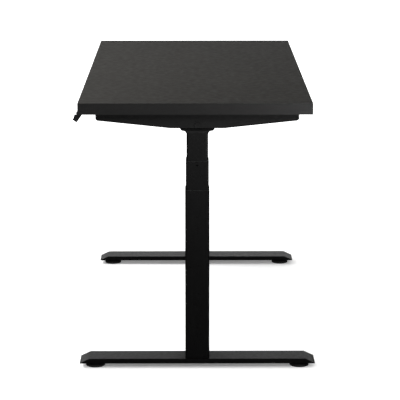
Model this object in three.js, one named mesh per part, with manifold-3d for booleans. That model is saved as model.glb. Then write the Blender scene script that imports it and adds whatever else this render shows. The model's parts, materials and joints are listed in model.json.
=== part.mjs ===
// Electric sit-stand desk: a laminate top on two three-stage lifting columns with flat steel feet.
// Millimetres. +Z is up, +X is the desk's right end as its user sees it, and the user sits at -Y.
// The origin is on the floor, under the middle of the whole desk's box.

import * as THREE from "three";
import Module from "manifold-3d";
import { mergeVertices } from "three/addons/utils/BufferGeometryUtils.js";

const wasm = await Module();
wasm.setup();

// ---- Driving dimensions ----

const GAP = 0.3; // between pieces that touch

// Desktop
const TOP_LENGTH = 1400;
const TOP_DEPTH = 700;
const TOP_THICKNESS = 34;
const TOP_HEIGHT = 837; // upper face above the floor
const TOP_ARRIS = 1;
const UNDERSIDE = TOP_HEIGHT - TOP_THICKNESS;

// Legs: each is built round a vertical axis of its own, with its outer side at +X
const LEG_X = 620.5; // from the desk's middle
const FRAME_Y = 6; // the steel frame sits a little behind the middle
const SHEET = 2.5; // folded sheet steel
const TUBE_WALL = 1.4;
const TUBE_CORNER = 5;
const STAGE_STEP = 4.2; // each tube is this much narrower than the one round it
const OUTER_WIDTH = 74;
const MIDDLE_WIDTH = OUTER_WIDTH - STAGE_STEP;
const UPPER_WIDTH = MIDDLE_WIDTH - STAGE_STEP;

// Foot
const FOOT_LENGTH = 727;
const FOOT_WIDTH = 80;
const FOOT_TOP = 32;
const FOOT_SKIRT = 16.5; // height of the side walls' lower edge
const FOOT_FOLD = 30; // length of each bent-down end
const FOOT_FOLD_DROP = 14;
const GLIDE_Y = 316.6; // glide centres, from the leg's axis
const GLIDE_RADIUS = 30;
const GLIDE_PAD_TOP = 12;
const GLIDE_EDGE_TOP = 6.5; // the pad's edge is upright to here, then slopes in
const GLIDE_SLOPE = 5;
const GLIDE_CHAMFER = 1.5;
const GLIDE_SEAT = 4.7; // depth to which the stud is let in, above the floor
const BOSS_RADIUS = 8;
const STUD_RADIUS = 4;

// Heights of the lifting column, as it stands at rest
const OUTER_TUBE_TOP = 561.5;
const MIDDLE_TUBE_BOTTOM = 120.5;
const MIDDLE_TUBE_TOP = 651;
const UPPER_TUBE_BOTTOM = 219;
const ARM_BOTTOM = 755;
const PLATE = 4; // end plates welded into the tubes
const GUIDE_LIP = 2;
const GUIDE_DEPTH = 60;
const RUNNING = 0.1; // clearance of a sliding guide, all round

// Screw drive inside each column
const BASE_SCREW_RADIUS = 5;
const DRIVE_SHAFT_BORE = 5.6;
const DRIVE_SHAFT_RADIUS = 7.5;
const HOLLOW_SCREW_BORE = 8.3;
const HOLLOW_SCREW_RADIUS = 12;
const SCREW_CLEARANCE = 0.4; // all round, at each thread and bearing

// Side arm under the desktop
const ARM_LENGTH = 610;
const ARM_WIDTH = 80;
const ARM_END_DEPTH = 25;
const ARM_CORNER = 8;
const ARM_LIP = 14; // turned in all round the top
const ARM_FLAT_HALF = 81; // half of the level stretch at the arm's middle
const ARM_TOP = UNDERSIDE - GAP;
const MOTOR_Z = 779;

// Rails between the two arms
const RAIL_SPREAD = 125; // each rail's centre, from the frame's middle
const RAIL_WIDTH = 25;
const RAIL_DEPTH = 40;
const RAIL_SHEET = 2;

// Control box under the desktop
const BOX_LENGTH = 260;
const BOX_WIDTH = 110;
const BOX_BOTTOM = 764;
const BOX_WALL = 2.2;
const BOX_PLATE_BOTTOM = 799.7;

// Handset under the front edge, near the right end
const HANDSET_X = 599;
const HANDSET_LENGTH = 72;
const HANDSET_TILT = THREE.MathUtils.degToRad(55);
const HANDSET_FRONT = -FOOT_LENGTH / 2 - FRAME_Y; // its foremost edge
const HANDSET_FACE = 31.4; // height of its sloping face
const HANDSET_THICKNESS = 15.5;
const HANDSET_TONGUE = 10; // thickness of the part screwed to the desktop
const HANDSET_BACK = -302;
const HANDSET_LEAD_Y = -322; // where its lead leaves the inner end
const HANDSET_WALL = 2;
const HANDSET_TONGUE_Z = UNDERSIDE - GAP - HANDSET_TONGUE / 2;

// Leads
const MOTOR_LEAD_RADIUS = 3;
const HANDSET_LEAD_RADIUS = 2.2;

// ---- Materials ----

function paint(color, roughness, metalness = 0) {
  return new THREE.MeshStandardMaterial({ color, roughness, metalness, flatShading: true });
}

const MATERIAL = {
  laminate: () => paint(0x3f3e3b, 0.45),
  steel: () => paint(0x1c1c1c, 0.55, 0.3),
  tube: () => paint(0x191919, 0.5, 0.3),
  plastic: () => paint(0x161616, 0.6),
  gloss: () => paint(0x0c0c0d, 0.12),
  button: () => paint(0x2b2c2e, 0.4),
  rubber: () => paint(0x101010, 0.85),
  zinc: () => paint(0x9a9da1, 0.35, 0.9),
  bronze: () => paint(0x9c7440, 0.4, 0.9),
  casting: () => paint(0x8d8f91, 0.5, 0.8),
  board: () => paint(0x1d4a2c, 0.6),
};

// ---- Solids ----

function toSolid(geometry) {
  const plain = geometry.clone();
  plain.deleteAttribute("normal");
  plain.deleteAttribute("uv");
  const merged = mergeVertices(plain, 1e-4);
  const vertProperties = new Float32Array(merged.attributes.position.array);
  const triVerts = new Uint32Array(merged.index.array);
  return new wasm.Manifold(new wasm.Mesh({ numProp: 3, vertProperties, triVerts }));
}

function toGeometry(solid) {
  const { vertProperties, triVerts } = solid.getMesh();
  const geometry = new THREE.BufferGeometry();
  geometry.setAttribute("position", new THREE.BufferAttribute(vertProperties, 3));
  geometry.setIndex(new THREE.BufferAttribute(triVerts, 1));
  geometry.computeVertexNormals();
  return geometry;
}

function combine(first, operation, others) {
  const start = toSolid(first);
  return toGeometry(others.reduce((solid, other) => solid[operation](toSolid(other)), start));
}

const join = (first, ...others) => combine(first, "add", others);
const cut = (first, ...others) => combine(first, "subtract", others);
const overlap = (first, ...others) => combine(first, "intersect", others);

// ---- Outlines and prisms ----

function roundedRect(width, height, radius) {
  const shape = new THREE.Shape();
  const x = width / 2 - radius;
  const y = height / 2 - radius;
  shape.absarc(x, y, radius, 0, Math.PI / 2);
  shape.absarc(-x, y, radius, Math.PI / 2, Math.PI);
  shape.absarc(-x, -y, radius, Math.PI, 1.5 * Math.PI);
  shape.absarc(x, -y, radius, 1.5 * Math.PI, 2 * Math.PI);
  return shape;
}

function circle(radius, x = 0, y = 0) {
  const shape = new THREE.Shape();
  for (let quarter = 0; quarter < 4; quarter += 1) {
    shape.absarc(x, y, radius, quarter * (Math.PI / 2), (quarter + 1) * (Math.PI / 2));
  }
  return shape;
}

function polygon(points) {
  return new THREE.Shape(points.map(([x, y]) => new THREE.Vector2(x, y)));
}

function withHoles(shape, ...holes) {
  shape.holes.push(...holes);
  return shape;
}

// arcSteps is the number of straight steps in a quarter circle
function prismZ(shape, z0, z1, arcSteps = 4) {
  const options = { depth: z1 - z0, bevelEnabled: false, curveSegments: arcSteps / 2 };
  return new THREE.ExtrudeGeometry(shape, options).translate(0, 0, z0);
}

// The shape's x and y become Y and Z
function prismX(shape, x0, x1, arcSteps = 4) {
  const turn = new THREE.Matrix4().makeBasis(
    new THREE.Vector3(0, 1, 0),
    new THREE.Vector3(0, 0, 1),
    new THREE.Vector3(1, 0, 0),
  );
  return prismZ(shape, x0, x1, arcSteps).applyMatrix4(turn);
}

// The shape's x and y become X and Z
function prismY(shape, y0, y1, arcSteps = 4) {
  return prismZ(shape, -y1, -y0, arcSteps).rotateX(Math.PI / 2);
}

function block(x0, x1, y0, y1, z0, z1) {
  const box = new THREE.BoxGeometry(x1 - x0, y1 - y0, z1 - z0);
  return box.translate((x0 + x1) / 2, (y0 + y1) / 2, (z0 + z1) / 2);
}

// A body turned about Z, from [radius, height] pairs that start and end on the axis
function turned(profile, sides) {
  const points = profile.map(([radius, height]) => new THREE.Vector2(radius, height));
  return new THREE.LatheGeometry(points, sides).rotateX(Math.PI / 2);
}

function cylinder(radius, z0, z1, sides = 16) {
  return turned([[0, z0], [radius, z0], [radius, z1], [0, z1]], sides);
}

function ring(outerRadius, innerRadius, z0, z1) {
  return prismZ(withHoles(circle(outerRadius), circle(innerRadius)), z0, z1);
}

function named(name, material, geometry) {
  const mesh = new THREE.Mesh(geometry, MATERIAL[material]());
  mesh.name = name;
  return mesh;
}

// ---- Foot and glides ----

// Side view of the foot: level, with both ends bent down
function footOutline(thickness, bottom) {
  const tip = FOOT_LENGTH / 2;
  const fold = tip - FOOT_FOLD;
  const slope = Math.atan2(FOOT_FOLD_DROP, FOOT_FOLD);
  const top = FOOT_TOP - thickness;
  const foldY = fold - thickness * Math.tan(slope / 2);
  const tipY = tip - thickness * Math.sin(slope);
  const tipZ = FOOT_TOP - FOOT_FOLD_DROP - thickness * Math.cos(slope);
  const half = [[foldY, top], [tipY, tipZ], ...bottom(tipY, tipZ)];
  const mirrored = half.map(([y, z]) => [-y, z]).reverse();
  return polygon([...half, ...mirrored]);
}

// The outer outline ends square to the slope, then steps up to the side walls' lower edge
function outerFootOutline() {
  const slope = Math.atan2(FOOT_FOLD_DROP, FOOT_FOLD);
  const inY = FOOT_LENGTH / 2 - SHEET * Math.sin(slope);
  const inZ = FOOT_TOP - FOOT_FOLD_DROP - SHEET * Math.cos(slope);
  const skirtY = inY - (FOOT_SKIRT - inZ) / Math.tan(slope);
  return footOutline(0, () => [[inY, inZ], [skirtY, FOOT_SKIRT]]);
}

function foot(name) {
  const half = FOOT_WIDTH / 2;
  const shell = prismX(outerFootOutline(), -half, half);
  const hollow = prismX(footOutline(SHEET, (y) => [[y, -1]]), SHEET - half, half - SHEET);
  const bossTop = FOOT_TOP - SHEET;
  const bosses = [-GLIDE_Y, GLIDE_Y].map((y) =>
    cylinder(BOSS_RADIUS, GLIDE_PAD_TOP + 0.4, bossTop + 1).translate(0, y, 0),
  );
  const bores = [-GLIDE_Y, GLIDE_Y].map((y) =>
    cylinder(STUD_RADIUS + GAP, 0, bossTop).translate(0, y, 0),
  );
  const screwHole = cylinder(BASE_SCREW_RADIUS + SCREW_CLEARANCE, 0, FOOT_TOP + 1);
  const open = cut(shell, hollow);
  return named(name, "steel", cut(join(open, ...bosses), ...bores, screwHole));
}

function glidePad(name) {
  const bore = STUD_RADIUS + GAP;
  const profile = [
    [0, 0],
    [GLIDE_RADIUS - GLIDE_CHAMFER, 0],
    [GLIDE_RADIUS, GLIDE_CHAMFER],
    [GLIDE_RADIUS, GLIDE_EDGE_TOP],
    [GLIDE_RADIUS - GLIDE_SLOPE, GLIDE_PAD_TOP],
    [bore, GLIDE_PAD_TOP],
    [bore, GLIDE_SEAT],
    [0, GLIDE_SEAT],
  ];
  return named(name, "rubber", turned(profile, 24));
}

function glideStud(name) {
  return named(name, "zinc", cylinder(STUD_RADIUS, GLIDE_SEAT + GAP, FOOT_TOP - SHEET - 2 * GAP, 12));
}

// ---- Column tubes and guides ----

function square(width, corner) {
  return roundedRect(width, width, corner);
}

// A square tube with a plate welded in at one end
function stageTube(width, bottom, top, plateBottom, plateHole) {
  const bore = width - 2 * TUBE_WALL;
  const corner = TUBE_CORNER - TUBE_WALL;
  const tube = prismZ(square(width, TUBE_CORNER), bottom, top);
  const below = prismZ(square(bore, corner), bottom - 1, plateBottom);
  const above = prismZ(square(bore, corner), plateBottom + PLATE, top + 1);
  const hole = cylinder(plateHole, plateBottom - 1, plateBottom + PLATE + 1, 24);
  return cut(tube, below, above, hole);
}

function outerTube(name) {
  const bottom = FOOT_TOP + GAP;
  const hole = BASE_SCREW_RADIUS + SCREW_CLEARANCE;
  return named(name, "tube", stageTube(OUTER_WIDTH, bottom, OUTER_TUBE_TOP, bottom, hole));
}

function middleTube(name) {
  const hole = HOLLOW_SCREW_RADIUS + SCREW_CLEARANCE;
  const bottom = MIDDLE_TUBE_BOTTOM;
  return named(name, "tube", stageTube(MIDDLE_WIDTH, bottom, MIDDLE_TUBE_TOP, bottom, hole));
}

function upperTube(name) {
  const top = ARM_BOTTOM - GAP;
  const hole = HOLLOW_SCREW_RADIUS + 1;
  const tube = stageTube(UPPER_WIDTH, UPPER_TUBE_BOTTOM, top, top - PLATE, hole);
  return named(name, "tube", tube);
}

// Plastic bush in a tube's mouth, with a lip on its rim; the next tube slides in it
function guide(name, tubeWidth, tubeTop) {
  const outside = tubeWidth - 2 * TUBE_WALL - 2 * RUNNING;
  const inside = tubeWidth - STAGE_STEP + 2 * RUNNING;
  const corner = TUBE_CORNER - TUBE_WALL;
  const opening = () => square(inside, TUBE_CORNER);
  const sleeve = withHoles(square(outside, corner), opening());
  const lip = withHoles(square(tubeWidth - 2 * GAP, TUBE_CORNER), opening());
  const lipBottom = tubeTop + GAP;
  const body = prismZ(sleeve, tubeTop - GUIDE_DEPTH, lipBottom + GUIDE_LIP);
  return named(name, "plastic", join(body, prismZ(lip, lipBottom, lipBottom + GUIDE_LIP)));
}

// ---- Screw drive ----

const BASE_SCREW_TOP = 402;
const HOLLOW_SCREW_TOP = 520;
const DRIVE_SHAFT_BOTTOM = 240;
const DRIVE_SHAFT_TOP = 780;
const NUT_LENGTH = 26;
const BEARING_SEAT = MIDDLE_TUBE_BOTTOM + PLATE + GAP;
const BEARING_RADIUS = 17;
const BEARING_THICKNESS = 5;
const SCREW_HEAD_RADIUS = 12;
const SCREW_HEAD_HEIGHT = 7;

// Stands still: a threaded rod held by its head under the foot
function baseScrew(name) {
  const headTop = FOOT_TOP - SHEET - GAP;
  const headBottom = headTop - SCREW_HEAD_HEIGHT;
  const profile = [
    [0, headBottom],
    [SCREW_HEAD_RADIUS, headBottom],
    [SCREW_HEAD_RADIUS, headTop],
    [BASE_SCREW_RADIUS, headTop],
    [BASE_SCREW_RADIUS, BASE_SCREW_TOP],
    [0, BASE_SCREW_TOP],
  ];
  return named(name, "zinc", turned(profile, 16));
}

// Turns in the middle tube's end plate, threaded inside its nut and outside
function hollowScrew(name) {
  const screw = ring(HOLLOW_SCREW_RADIUS, HOLLOW_SCREW_BORE, MIDDLE_TUBE_BOTTOM, HOLLOW_SCREW_TOP);
  const flangeTop = BEARING_SEAT + BEARING_THICKNESS;
  const flange = ring(BEARING_RADIUS, HOLLOW_SCREW_BORE, BEARING_SEAT, flangeTop);
  return named(name, "zinc", join(screw, flange));
}

// Pressed into the hollow screw's lower end, and runs on the base screw
function lowerNut(name) {
  const outer = HOLLOW_SCREW_BORE - GAP;
  const inner = BASE_SCREW_RADIUS + SCREW_CLEARANCE;
  return named(name, "bronze", ring(outer, inner, BEARING_SEAT, BEARING_SEAT + NUT_LENGTH));
}

// Fixed in the upper tube's lower end, and runs on the hollow screw
function upperNut(name) {
  const width = UPPER_WIDTH - 2 * TUBE_WALL - 2 * GAP;
  const bore = circle(HOLLOW_SCREW_RADIUS + SCREW_CLEARANCE);
  const section = withHoles(square(width, TUBE_CORNER - TUBE_WALL), bore);
  const bottom = UPPER_TUBE_BOTTOM + 1;
  return named(name, "plastic", prismZ(section, bottom, bottom + NUT_LENGTH, 6));
}

// Hangs from the gearbox inside the hollow screw, which it turns
function driveShaft(name) {
  const shaft = ring(DRIVE_SHAFT_RADIUS, DRIVE_SHAFT_BORE, DRIVE_SHAFT_BOTTOM, DRIVE_SHAFT_TOP);
  return named(name, "zinc", shaft);
}

// ---- Side arm, collar, gearbox and motor ----

const COLLAR_HALF_X = 39;
const COLLAR_HALF_Y = 52;
const COLLAR_CORNER = 8;
const COLLAR_BAND = 9; // depth of the flange's edge, which slopes in by COLLAR_DRAFT
const COLLAR_DRAFT = 4;
const COLLAR_CURVE = 7; // depth of the flare under it
const COLLAR_NECK = 1.6; // how much thicker the neck is than the tube, on each side

// Half of the flared side of the collar, as [half width, height]
function collarFlare(topHalf) {
  const top = ARM_BOTTOM - GAP;
  const neckHalf = UPPER_WIDTH / 2 + COLLAR_NECK;
  const bandHalf = topHalf - COLLAR_DRAFT;
  const neck = top - COLLAR_BAND - COLLAR_CURVE;
  const steps = 4;
  const curve = [];
  for (let i = 0; i <= steps; i += 1) {
    const angle = (i / steps) * (Math.PI / 2);
    const half = neckHalf + (bandHalf - neckHalf) * (1 - Math.cos(angle));
    curve.push([half, neck + COLLAR_CURVE * Math.sin(angle)]);
  }
  return [...curve, [topHalf, top - GUIDE_LIP], [topHalf, top]];
}

function mirroredOutline(half) {
  return polygon([...half, ...half.map(([x, y]) => [-x, y]).reverse()]);
}

function collar(name) {
  const bottom = ARM_BOTTOM - COLLAR_BAND - COLLAR_CURVE - 1;
  const across = prismX(mirroredOutline(collarFlare(COLLAR_HALF_Y)), -COLLAR_HALF_X, COLLAR_HALF_X);
  const along = prismY(mirroredOutline(collarFlare(COLLAR_HALF_X)), -COLLAR_HALF_Y, COLLAR_HALF_Y);
  const outline = roundedRect(2 * COLLAR_HALF_X, 2 * COLLAR_HALF_Y, COLLAR_CORNER);
  const corners = prismZ(outline, bottom, ARM_BOTTOM);
  const bore = prismZ(square(UPPER_WIDTH + 2 * GAP, TUBE_CORNER), bottom, ARM_BOTTOM);
  return named(name, "casting", cut(overlap(across, along, corners), bore));
}

// Side view of the arm, drawn in from its outer faces by inset
function armOutline(inset) {
  const end = ARM_LENGTH / 2 - inset;
  const corner = ARM_CORNER - inset;
  const endBottom = ARM_TOP - ARM_END_DEPTH + inset;
  const bottom = ARM_BOTTOM + inset;
  const outline = new THREE.Shape();
  outline.moveTo(-end, ARM_TOP - inset);
  outline.lineTo(-end, endBottom + corner);
  outline.absarc(-end + corner, endBottom + corner, corner, Math.PI, 1.5 * Math.PI);
  outline.lineTo(-ARM_FLAT_HALF, bottom);
  outline.lineTo(ARM_FLAT_HALF, bottom);
  outline.absarc(end - corner, endBottom + corner, corner, 1.5 * Math.PI, 2 * Math.PI);
  outline.lineTo(end, ARM_TOP - inset);
  return outline;
}

const ARCH_OUTER = 11;
const ARCH_INNER = 7.5;
const ARCH_SPRINGING = ARM_BOTTOM + 10;
const ARCH_FOOT = ARM_BOTTOM + 1;
const ARCH_PROUD = 1.2;
const MOTOR_DOOR_WIDTH = 48;
const MOTOR_DOOR_HEIGHT = 39.5;
const MOTOR_DOOR_CORNER = 8;
const ARM_SCREW_X = 28; // wood screws in the lip, from the arm's middle line
const ARM_SCREW_Y = [150, 262];
const SCREWDRIVER_HOLE_RADIUS = 6;

// Raised arch pressed into the arm's outer face, over the column
function armEmboss() {
  const arch = new THREE.Shape();
  arch.moveTo(ARCH_OUTER, ARCH_FOOT);
  arch.lineTo(ARCH_OUTER, ARCH_SPRINGING);
  arch.absarc(0, ARCH_SPRINGING, ARCH_OUTER, 0, Math.PI);
  arch.lineTo(-ARCH_OUTER, ARCH_FOOT);
  arch.lineTo(-ARCH_INNER, ARCH_FOOT);
  arch.absarc(0, ARCH_SPRINGING, ARCH_INNER, Math.PI, 0, true);
  arch.lineTo(ARCH_INNER, ARCH_FOOT);
  return prismX(arch, ARM_WIDTH / 2 - SHEET / 4, ARM_WIDTH / 2 + ARCH_PROUD, 6);
}

// Holes in the arm's bottom, each under a wood screw in the lip
function screwdriverHoles() {
  const top = ARM_TOP - 2 * SHEET;
  return [-1, 1].flatMap((across) =>
    [-1, 1].flatMap((along) =>
      ARM_SCREW_Y.map((y) =>
        cylinder(SCREWDRIVER_HOLE_RADIUS, ARM_BOTTOM - 1, top, 12)
          .translate(across * ARM_SCREW_X, along * y, 0),
      ),
    ),
  );
}

// A channel open at the top, with a lip turned in all round to take the desktop's screws
function sideArm(name) {
  const half = ARM_WIDTH / 2;
  const shell = join(prismX(armOutline(0), -half, half), armEmboss());
  const hollow = prismX(armOutline(SHEET), SHEET - half, half - SHEET);
  const mouth = roundedRect(ARM_WIDTH - 2 * ARM_LIP, ARM_LENGTH - 2 * ARM_LIP, 6);
  const shaftHole = cylinder(HOLLOW_SCREW_RADIUS + 1, ARM_BOTTOM - 1, ARM_BOTTOM + 2 * SHEET, 24);
  const doorShape = roundedRect(MOTOR_DOOR_WIDTH, MOTOR_DOOR_HEIGHT, MOTOR_DOOR_CORNER);
  const doorOutline = doorShape.extractPoints(4).shape.map(({ x, y }) => [x, y]);
  const motorHole = prismX(polygon(doorOutline), -half - 1, 2 * SHEET - half);
  const tools = [
    hollow,
    prismZ(mouth, ARM_TOP - 2 * SHEET, ARM_TOP + 1),
    shaftHole,
    motorHole.translate(0, 0, MOTOR_Z),
    ...screwdriverHoles(),
  ];
  return named(name, "steel", cut(shell, ...tools));
}

const GEARBOX_WIDTH = 70;
const GEARBOX_LENGTH = 76;
const GEARBOX_HEIGHT = 38;
const MOTOR_FRONT = GEARBOX_WIDTH / 2 + GAP; // distances from the leg's axis
const MOTOR_CAN_FRONT = ARM_WIDTH / 2 + 3;
const MOTOR_BACK = 150;
const MOTOR_NECK_RADIUS = 18;
const MOTOR_RADIUS = 21;
const MOTOR_CAP = 5; // length of the tapered back cap
const MOTOR_CAP_RADIUS = 16;

// Right-angle gearbox inside the arm; its lower bore takes the drive shaft
function gearbox(name) {
  const bottom = ARM_BOTTOM + SHEET + GAP;
  const outline = roundedRect(GEARBOX_WIDTH, GEARBOX_LENGTH, 7);
  const housing = prismZ(outline, bottom, bottom + GEARBOX_HEIGHT);
  const bore = cylinder(DRIVE_SHAFT_RADIUS + SCREW_CLEARANCE, bottom - 1, DRIVE_SHAFT_TOP + 2);
  return named(name, "casting", cut(housing, bore));
}

// Lies level, from the gearbox through the arm's inner wall towards the desk's middle
function motor(name) {
  const canBack = MOTOR_BACK - MOTOR_CAP;
  const profile = [
    [0, MOTOR_FRONT],
    [MOTOR_NECK_RADIUS, MOTOR_FRONT],
    [MOTOR_NECK_RADIUS, MOTOR_CAN_FRONT],
    [MOTOR_RADIUS - 1, MOTOR_CAN_FRONT],
    [MOTOR_RADIUS, MOTOR_CAN_FRONT + 1],
    [MOTOR_RADIUS, canBack - 1],
    [MOTOR_RADIUS - 1.5, canBack],
    [MOTOR_CAP_RADIUS, canBack],
    [MOTOR_CAP_RADIUS - 1, MOTOR_BACK],
    [0, MOTOR_BACK],
  ];
  const body = turned(profile, 24).rotateY(-Math.PI / 2);
  return named(name, "plastic", body.translate(0, 0, MOTOR_Z));
}

// ---- One leg ----

function leg(side) {
  const lower = [
    foot(`${side}_foot`),
    outerTube(`${side}_outer_tube`),
    guide(`${side}_outer_guide`, OUTER_WIDTH, OUTER_TUBE_TOP),
    baseScrew(`${side}_base_screw`),
  ];
  const middle = [
    middleTube(`${side}_middle_tube`),
    guide(`${side}_middle_guide`, MIDDLE_WIDTH, MIDDLE_TUBE_TOP),
    hollowScrew(`${side}_hollow_screw`),
    lowerNut(`${side}_lower_nut`),
  ];
  const upper = [
    upperTube(`${side}_upper_tube`),
    upperNut(`${side}_upper_nut`),
    driveShaft(`${side}_drive_shaft`),
    collar(`${side}_collar`),
    sideArm(`${side}_side_arm`),
    gearbox(`${side}_gearbox`),
    motor(`${side}_motor`),
  ];
  const group = new THREE.Group();
  group.add(...lower, ...middle, ...upper);
  return group;
}

function glide(name, x, y) {
  const group = new THREE.Group();
  group.add(glidePad(`${name}_glide_pad`), glideStud(`${name}_glide_stud`));
  group.position.set(x, y, 0);
  return group;
}

// ---- Desktop and rails ----

function desktop() {
  const shape = roundedRect(TOP_LENGTH - 2 * TOP_ARRIS, TOP_DEPTH - 2 * TOP_ARRIS, 1);
  const options = {
    depth: TOP_THICKNESS - 2 * TOP_ARRIS,
    bevelThickness: TOP_ARRIS,
    bevelSize: TOP_ARRIS,
    bevelSegments: 2,
    curveSegments: 1,
  };
  const board = new THREE.ExtrudeGeometry(shape, options);
  return named("desktop", "laminate", board.translate(0, 0, UNDERSIDE + TOP_ARRIS));
}

const RAIL_TOP = UNDERSIDE - 0.6;
const RAIL_MIDDLE_Z = RAIL_TOP - RAIL_DEPTH / 2;
const HANDSET_LEAD_HOLE_X = 300;
const HANDSET_LEAD_HOLE = 14; // square hole in the front rail
const RAIL_PLATE = 3; // plate across each end
const RAIL_PLATE_LAP = 12; // how far it reaches past the channel on each side
const RAIL_PLATE_DROP = 2;

// A channel with its open side at +Y and a plate welded across each end
function channelRail() {
  const half = RAIL_WIDTH / 2;
  const bottom = RAIL_TOP - RAIL_DEPTH;
  const section = polygon([
    [-half, bottom],
    [half, bottom],
    [half, bottom + RAIL_SHEET],
    [RAIL_SHEET - half, bottom + RAIL_SHEET],
    [RAIL_SHEET - half, RAIL_TOP - RAIL_SHEET],
    [half, RAIL_TOP - RAIL_SHEET],
    [half, RAIL_TOP],
    [-half, RAIL_TOP],
  ]);
  const end = LEG_X - ARM_WIDTH / 2 - GAP;
  const reach = half + RAIL_PLATE_LAP;
  const plateBottom = bottom - RAIL_PLATE_DROP;
  const plateTop = RAIL_TOP - RAIL_PLATE_DROP;
  const plates = [-end, end - RAIL_PLATE].map((x) =>
    block(x, x + RAIL_PLATE, -reach, reach, plateBottom, plateTop),
  );
  return join(prismX(section, 1 - end, end - 1), ...plates);
}

function frontRail() {
  const half = HANDSET_LEAD_HOLE / 2;
  const hole = block(
    HANDSET_LEAD_HOLE_X - half,
    HANDSET_LEAD_HOLE_X + half,
    -RAIL_WIDTH,
    0,
    RAIL_MIDDLE_Z - half,
    RAIL_MIDDLE_Z + half,
  );
  const rail = cut(channelRail(), hole);
  return named("front_rail", "steel", rail.translate(0, FRAME_Y - RAIL_SPREAD, 0));
}

function rearRail() {
  const rail = channelRail().rotateZ(Math.PI);
  return named("rear_rail", "steel", rail.translate(0, FRAME_Y + RAIL_SPREAD, 0));
}

// ---- Control box ----

const BOX_PORT_Z = 785;
const MOTOR_PORT_Y = 25;
const HANDSET_PORT_Y = -25;
const INLET_Y = -22;
const INLET_WIDTH = 30;
const INLET_HEIGHT = 22;
const INLET_FLANGE_HALF = 18;
const INLET_FLANGE_BOTTOM = 770;
const INLET_FLANGE_TOP = 799;
const INLET_PROUD = 1.5;
const INLET_DEPTH = 24;
const INLET_RECESS = 18;
const INLET_WALL = 3;
const BLADE_SPACING = 10;
const BLADE_START = 8; // behind the inlet's face
const BOX_CORNER = 6;
const EAR_LENGTH = 18;
const EAR_WIDTH = 60;
const EAR_CORNER = 10;
const EAR_HOLE_RADIUS = 2.8;
const BOARD_THICKNESS = 1.6;
const BOARD_HALF_LENGTH = 104;
const BOARD_HALF_WIDTH = 46;
const BOARD_BOTTOM = BOX_BOTTOM + 8;
const PART_HEIGHT = 18; // of the parts that stand on the board

function controlBoxCover() {
  const half = BOX_LENGTH / 2;
  const top = BOX_PLATE_BOTTOM - GAP;
  const outside = roundedRect(BOX_LENGTH, BOX_WIDTH, BOX_CORNER);
  const inside = roundedRect(BOX_LENGTH - 2 * BOX_WALL, BOX_WIDTH - 2 * BOX_WALL, BOX_CORNER - 2);
  const inletHole = block(
    -half - 1,
    -half + 5,
    INLET_Y - INLET_WIDTH / 2 - GAP,
    INLET_Y + INLET_WIDTH / 2 + GAP,
    BOX_PORT_Z - INLET_HEIGHT / 2 - GAP,
    BOX_PORT_Z + INLET_HEIGHT / 2 + GAP,
  );
  const motorPort = circle(MOTOR_LEAD_RADIUS + GAP, MOTOR_PORT_Y, BOX_PORT_Z);
  const handsetPort = circle(HANDSET_LEAD_RADIUS + GAP, HANDSET_PORT_Y, BOX_PORT_Z);
  const tools = [
    prismZ(inside, BOX_BOTTOM + BOX_WALL, top + 1),
    inletHole,
    prismX(motorPort, -half - 1, half + 1),
    prismX(handsetPort, half - 5, half + 1),
  ];
  return named("control_box_cover", "plastic", cut(prismZ(outside, BOX_BOTTOM, top), ...tools));
}

// Flat back plate with an ear at each end for the wood screws
function controlBoxPlate() {
  const earReach = BOX_LENGTH / 2 + EAR_LENGTH / 2;
  const plate = roundedRect(BOX_LENGTH + 2 * EAR_LENGTH, EAR_WIDTH, EAR_CORNER);
  const back = prismZ(roundedRect(BOX_LENGTH, BOX_WIDTH, BOX_CORNER), BOX_PLATE_BOTTOM, RAIL_TOP);
  const ears = prismZ(plate, BOX_PLATE_BOTTOM, RAIL_TOP);
  const holes = [-earReach, earReach].map((x) =>
    cylinder(EAR_HOLE_RADIUS, BOX_PLATE_BOTTOM - 1, RAIL_TOP + 1, 16).translate(x, 0, 0),
  );
  return named("control_box_plate", "plastic", cut(join(back, ears), ...holes));
}

// Circuit board with its transformer, two capacitors and a heat sink
function controlBoard() {
  const top = BOARD_BOTTOM + BOARD_THICKNESS;
  const foot = top - 1;
  const partTop = top + PART_HEIGHT;
  const board = block(
    -BOARD_HALF_LENGTH,
    BOARD_HALF_LENGTH,
    -BOARD_HALF_WIDTH,
    BOARD_HALF_WIDTH,
    BOARD_BOTTOM,
    top,
  );
  const transformer = block(-62, -22, -20, 20, foot, partTop + 2);
  const heatSink = block(10, 60, 18, 24, foot, partTop);
  const capacitors = [30, 52].map((x) => cylinder(8, foot, partTop).translate(x, -20, 0));
  return named("control_board", "board", join(board, transformer, heatSink, ...capacitors));
}

// Socket for the mains plug: a block with a stepped recess and two blades at its back
function mainsInlet() {
  const face = -BOX_LENGTH / 2 - INLET_PROUD;
  const back = face + INLET_DEPTH;
  const flange = block(
    face,
    face + INLET_PROUD - GAP,
    INLET_Y - INLET_FLANGE_HALF,
    INLET_Y + INLET_FLANGE_HALF,
    INLET_FLANGE_BOTTOM,
    INLET_FLANGE_TOP,
  );
  const y0 = INLET_Y - INLET_WIDTH / 2;
  const y1 = INLET_Y + INLET_WIDTH / 2;
  const z0 = BOX_PORT_Z - INLET_HEIGHT / 2;
  const z1 = BOX_PORT_Z + INLET_HEIGHT / 2;
  const body = block(face, back, y0, y1, z0, z1);
  const recess = block(
    face - 1,
    face + INLET_RECESS,
    y0 + INLET_WALL,
    y1 - INLET_WALL,
    z0 + INLET_WALL,
    z1 - INLET_WALL,
  );
  const blades = [-BLADE_SPACING / 2, BLADE_SPACING / 2].map((offset) => {
    const y = INLET_Y + offset;
    const bladeBack = face + INLET_RECESS + 1;
    return block(face + BLADE_START, bladeBack, y - 1, y + 1, BOX_PORT_Z - 2.5, BOX_PORT_Z + 2.5);
  });
  return named("mains_inlet", "plastic", join(cut(join(body, flange), recess), ...blades));
}

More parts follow.
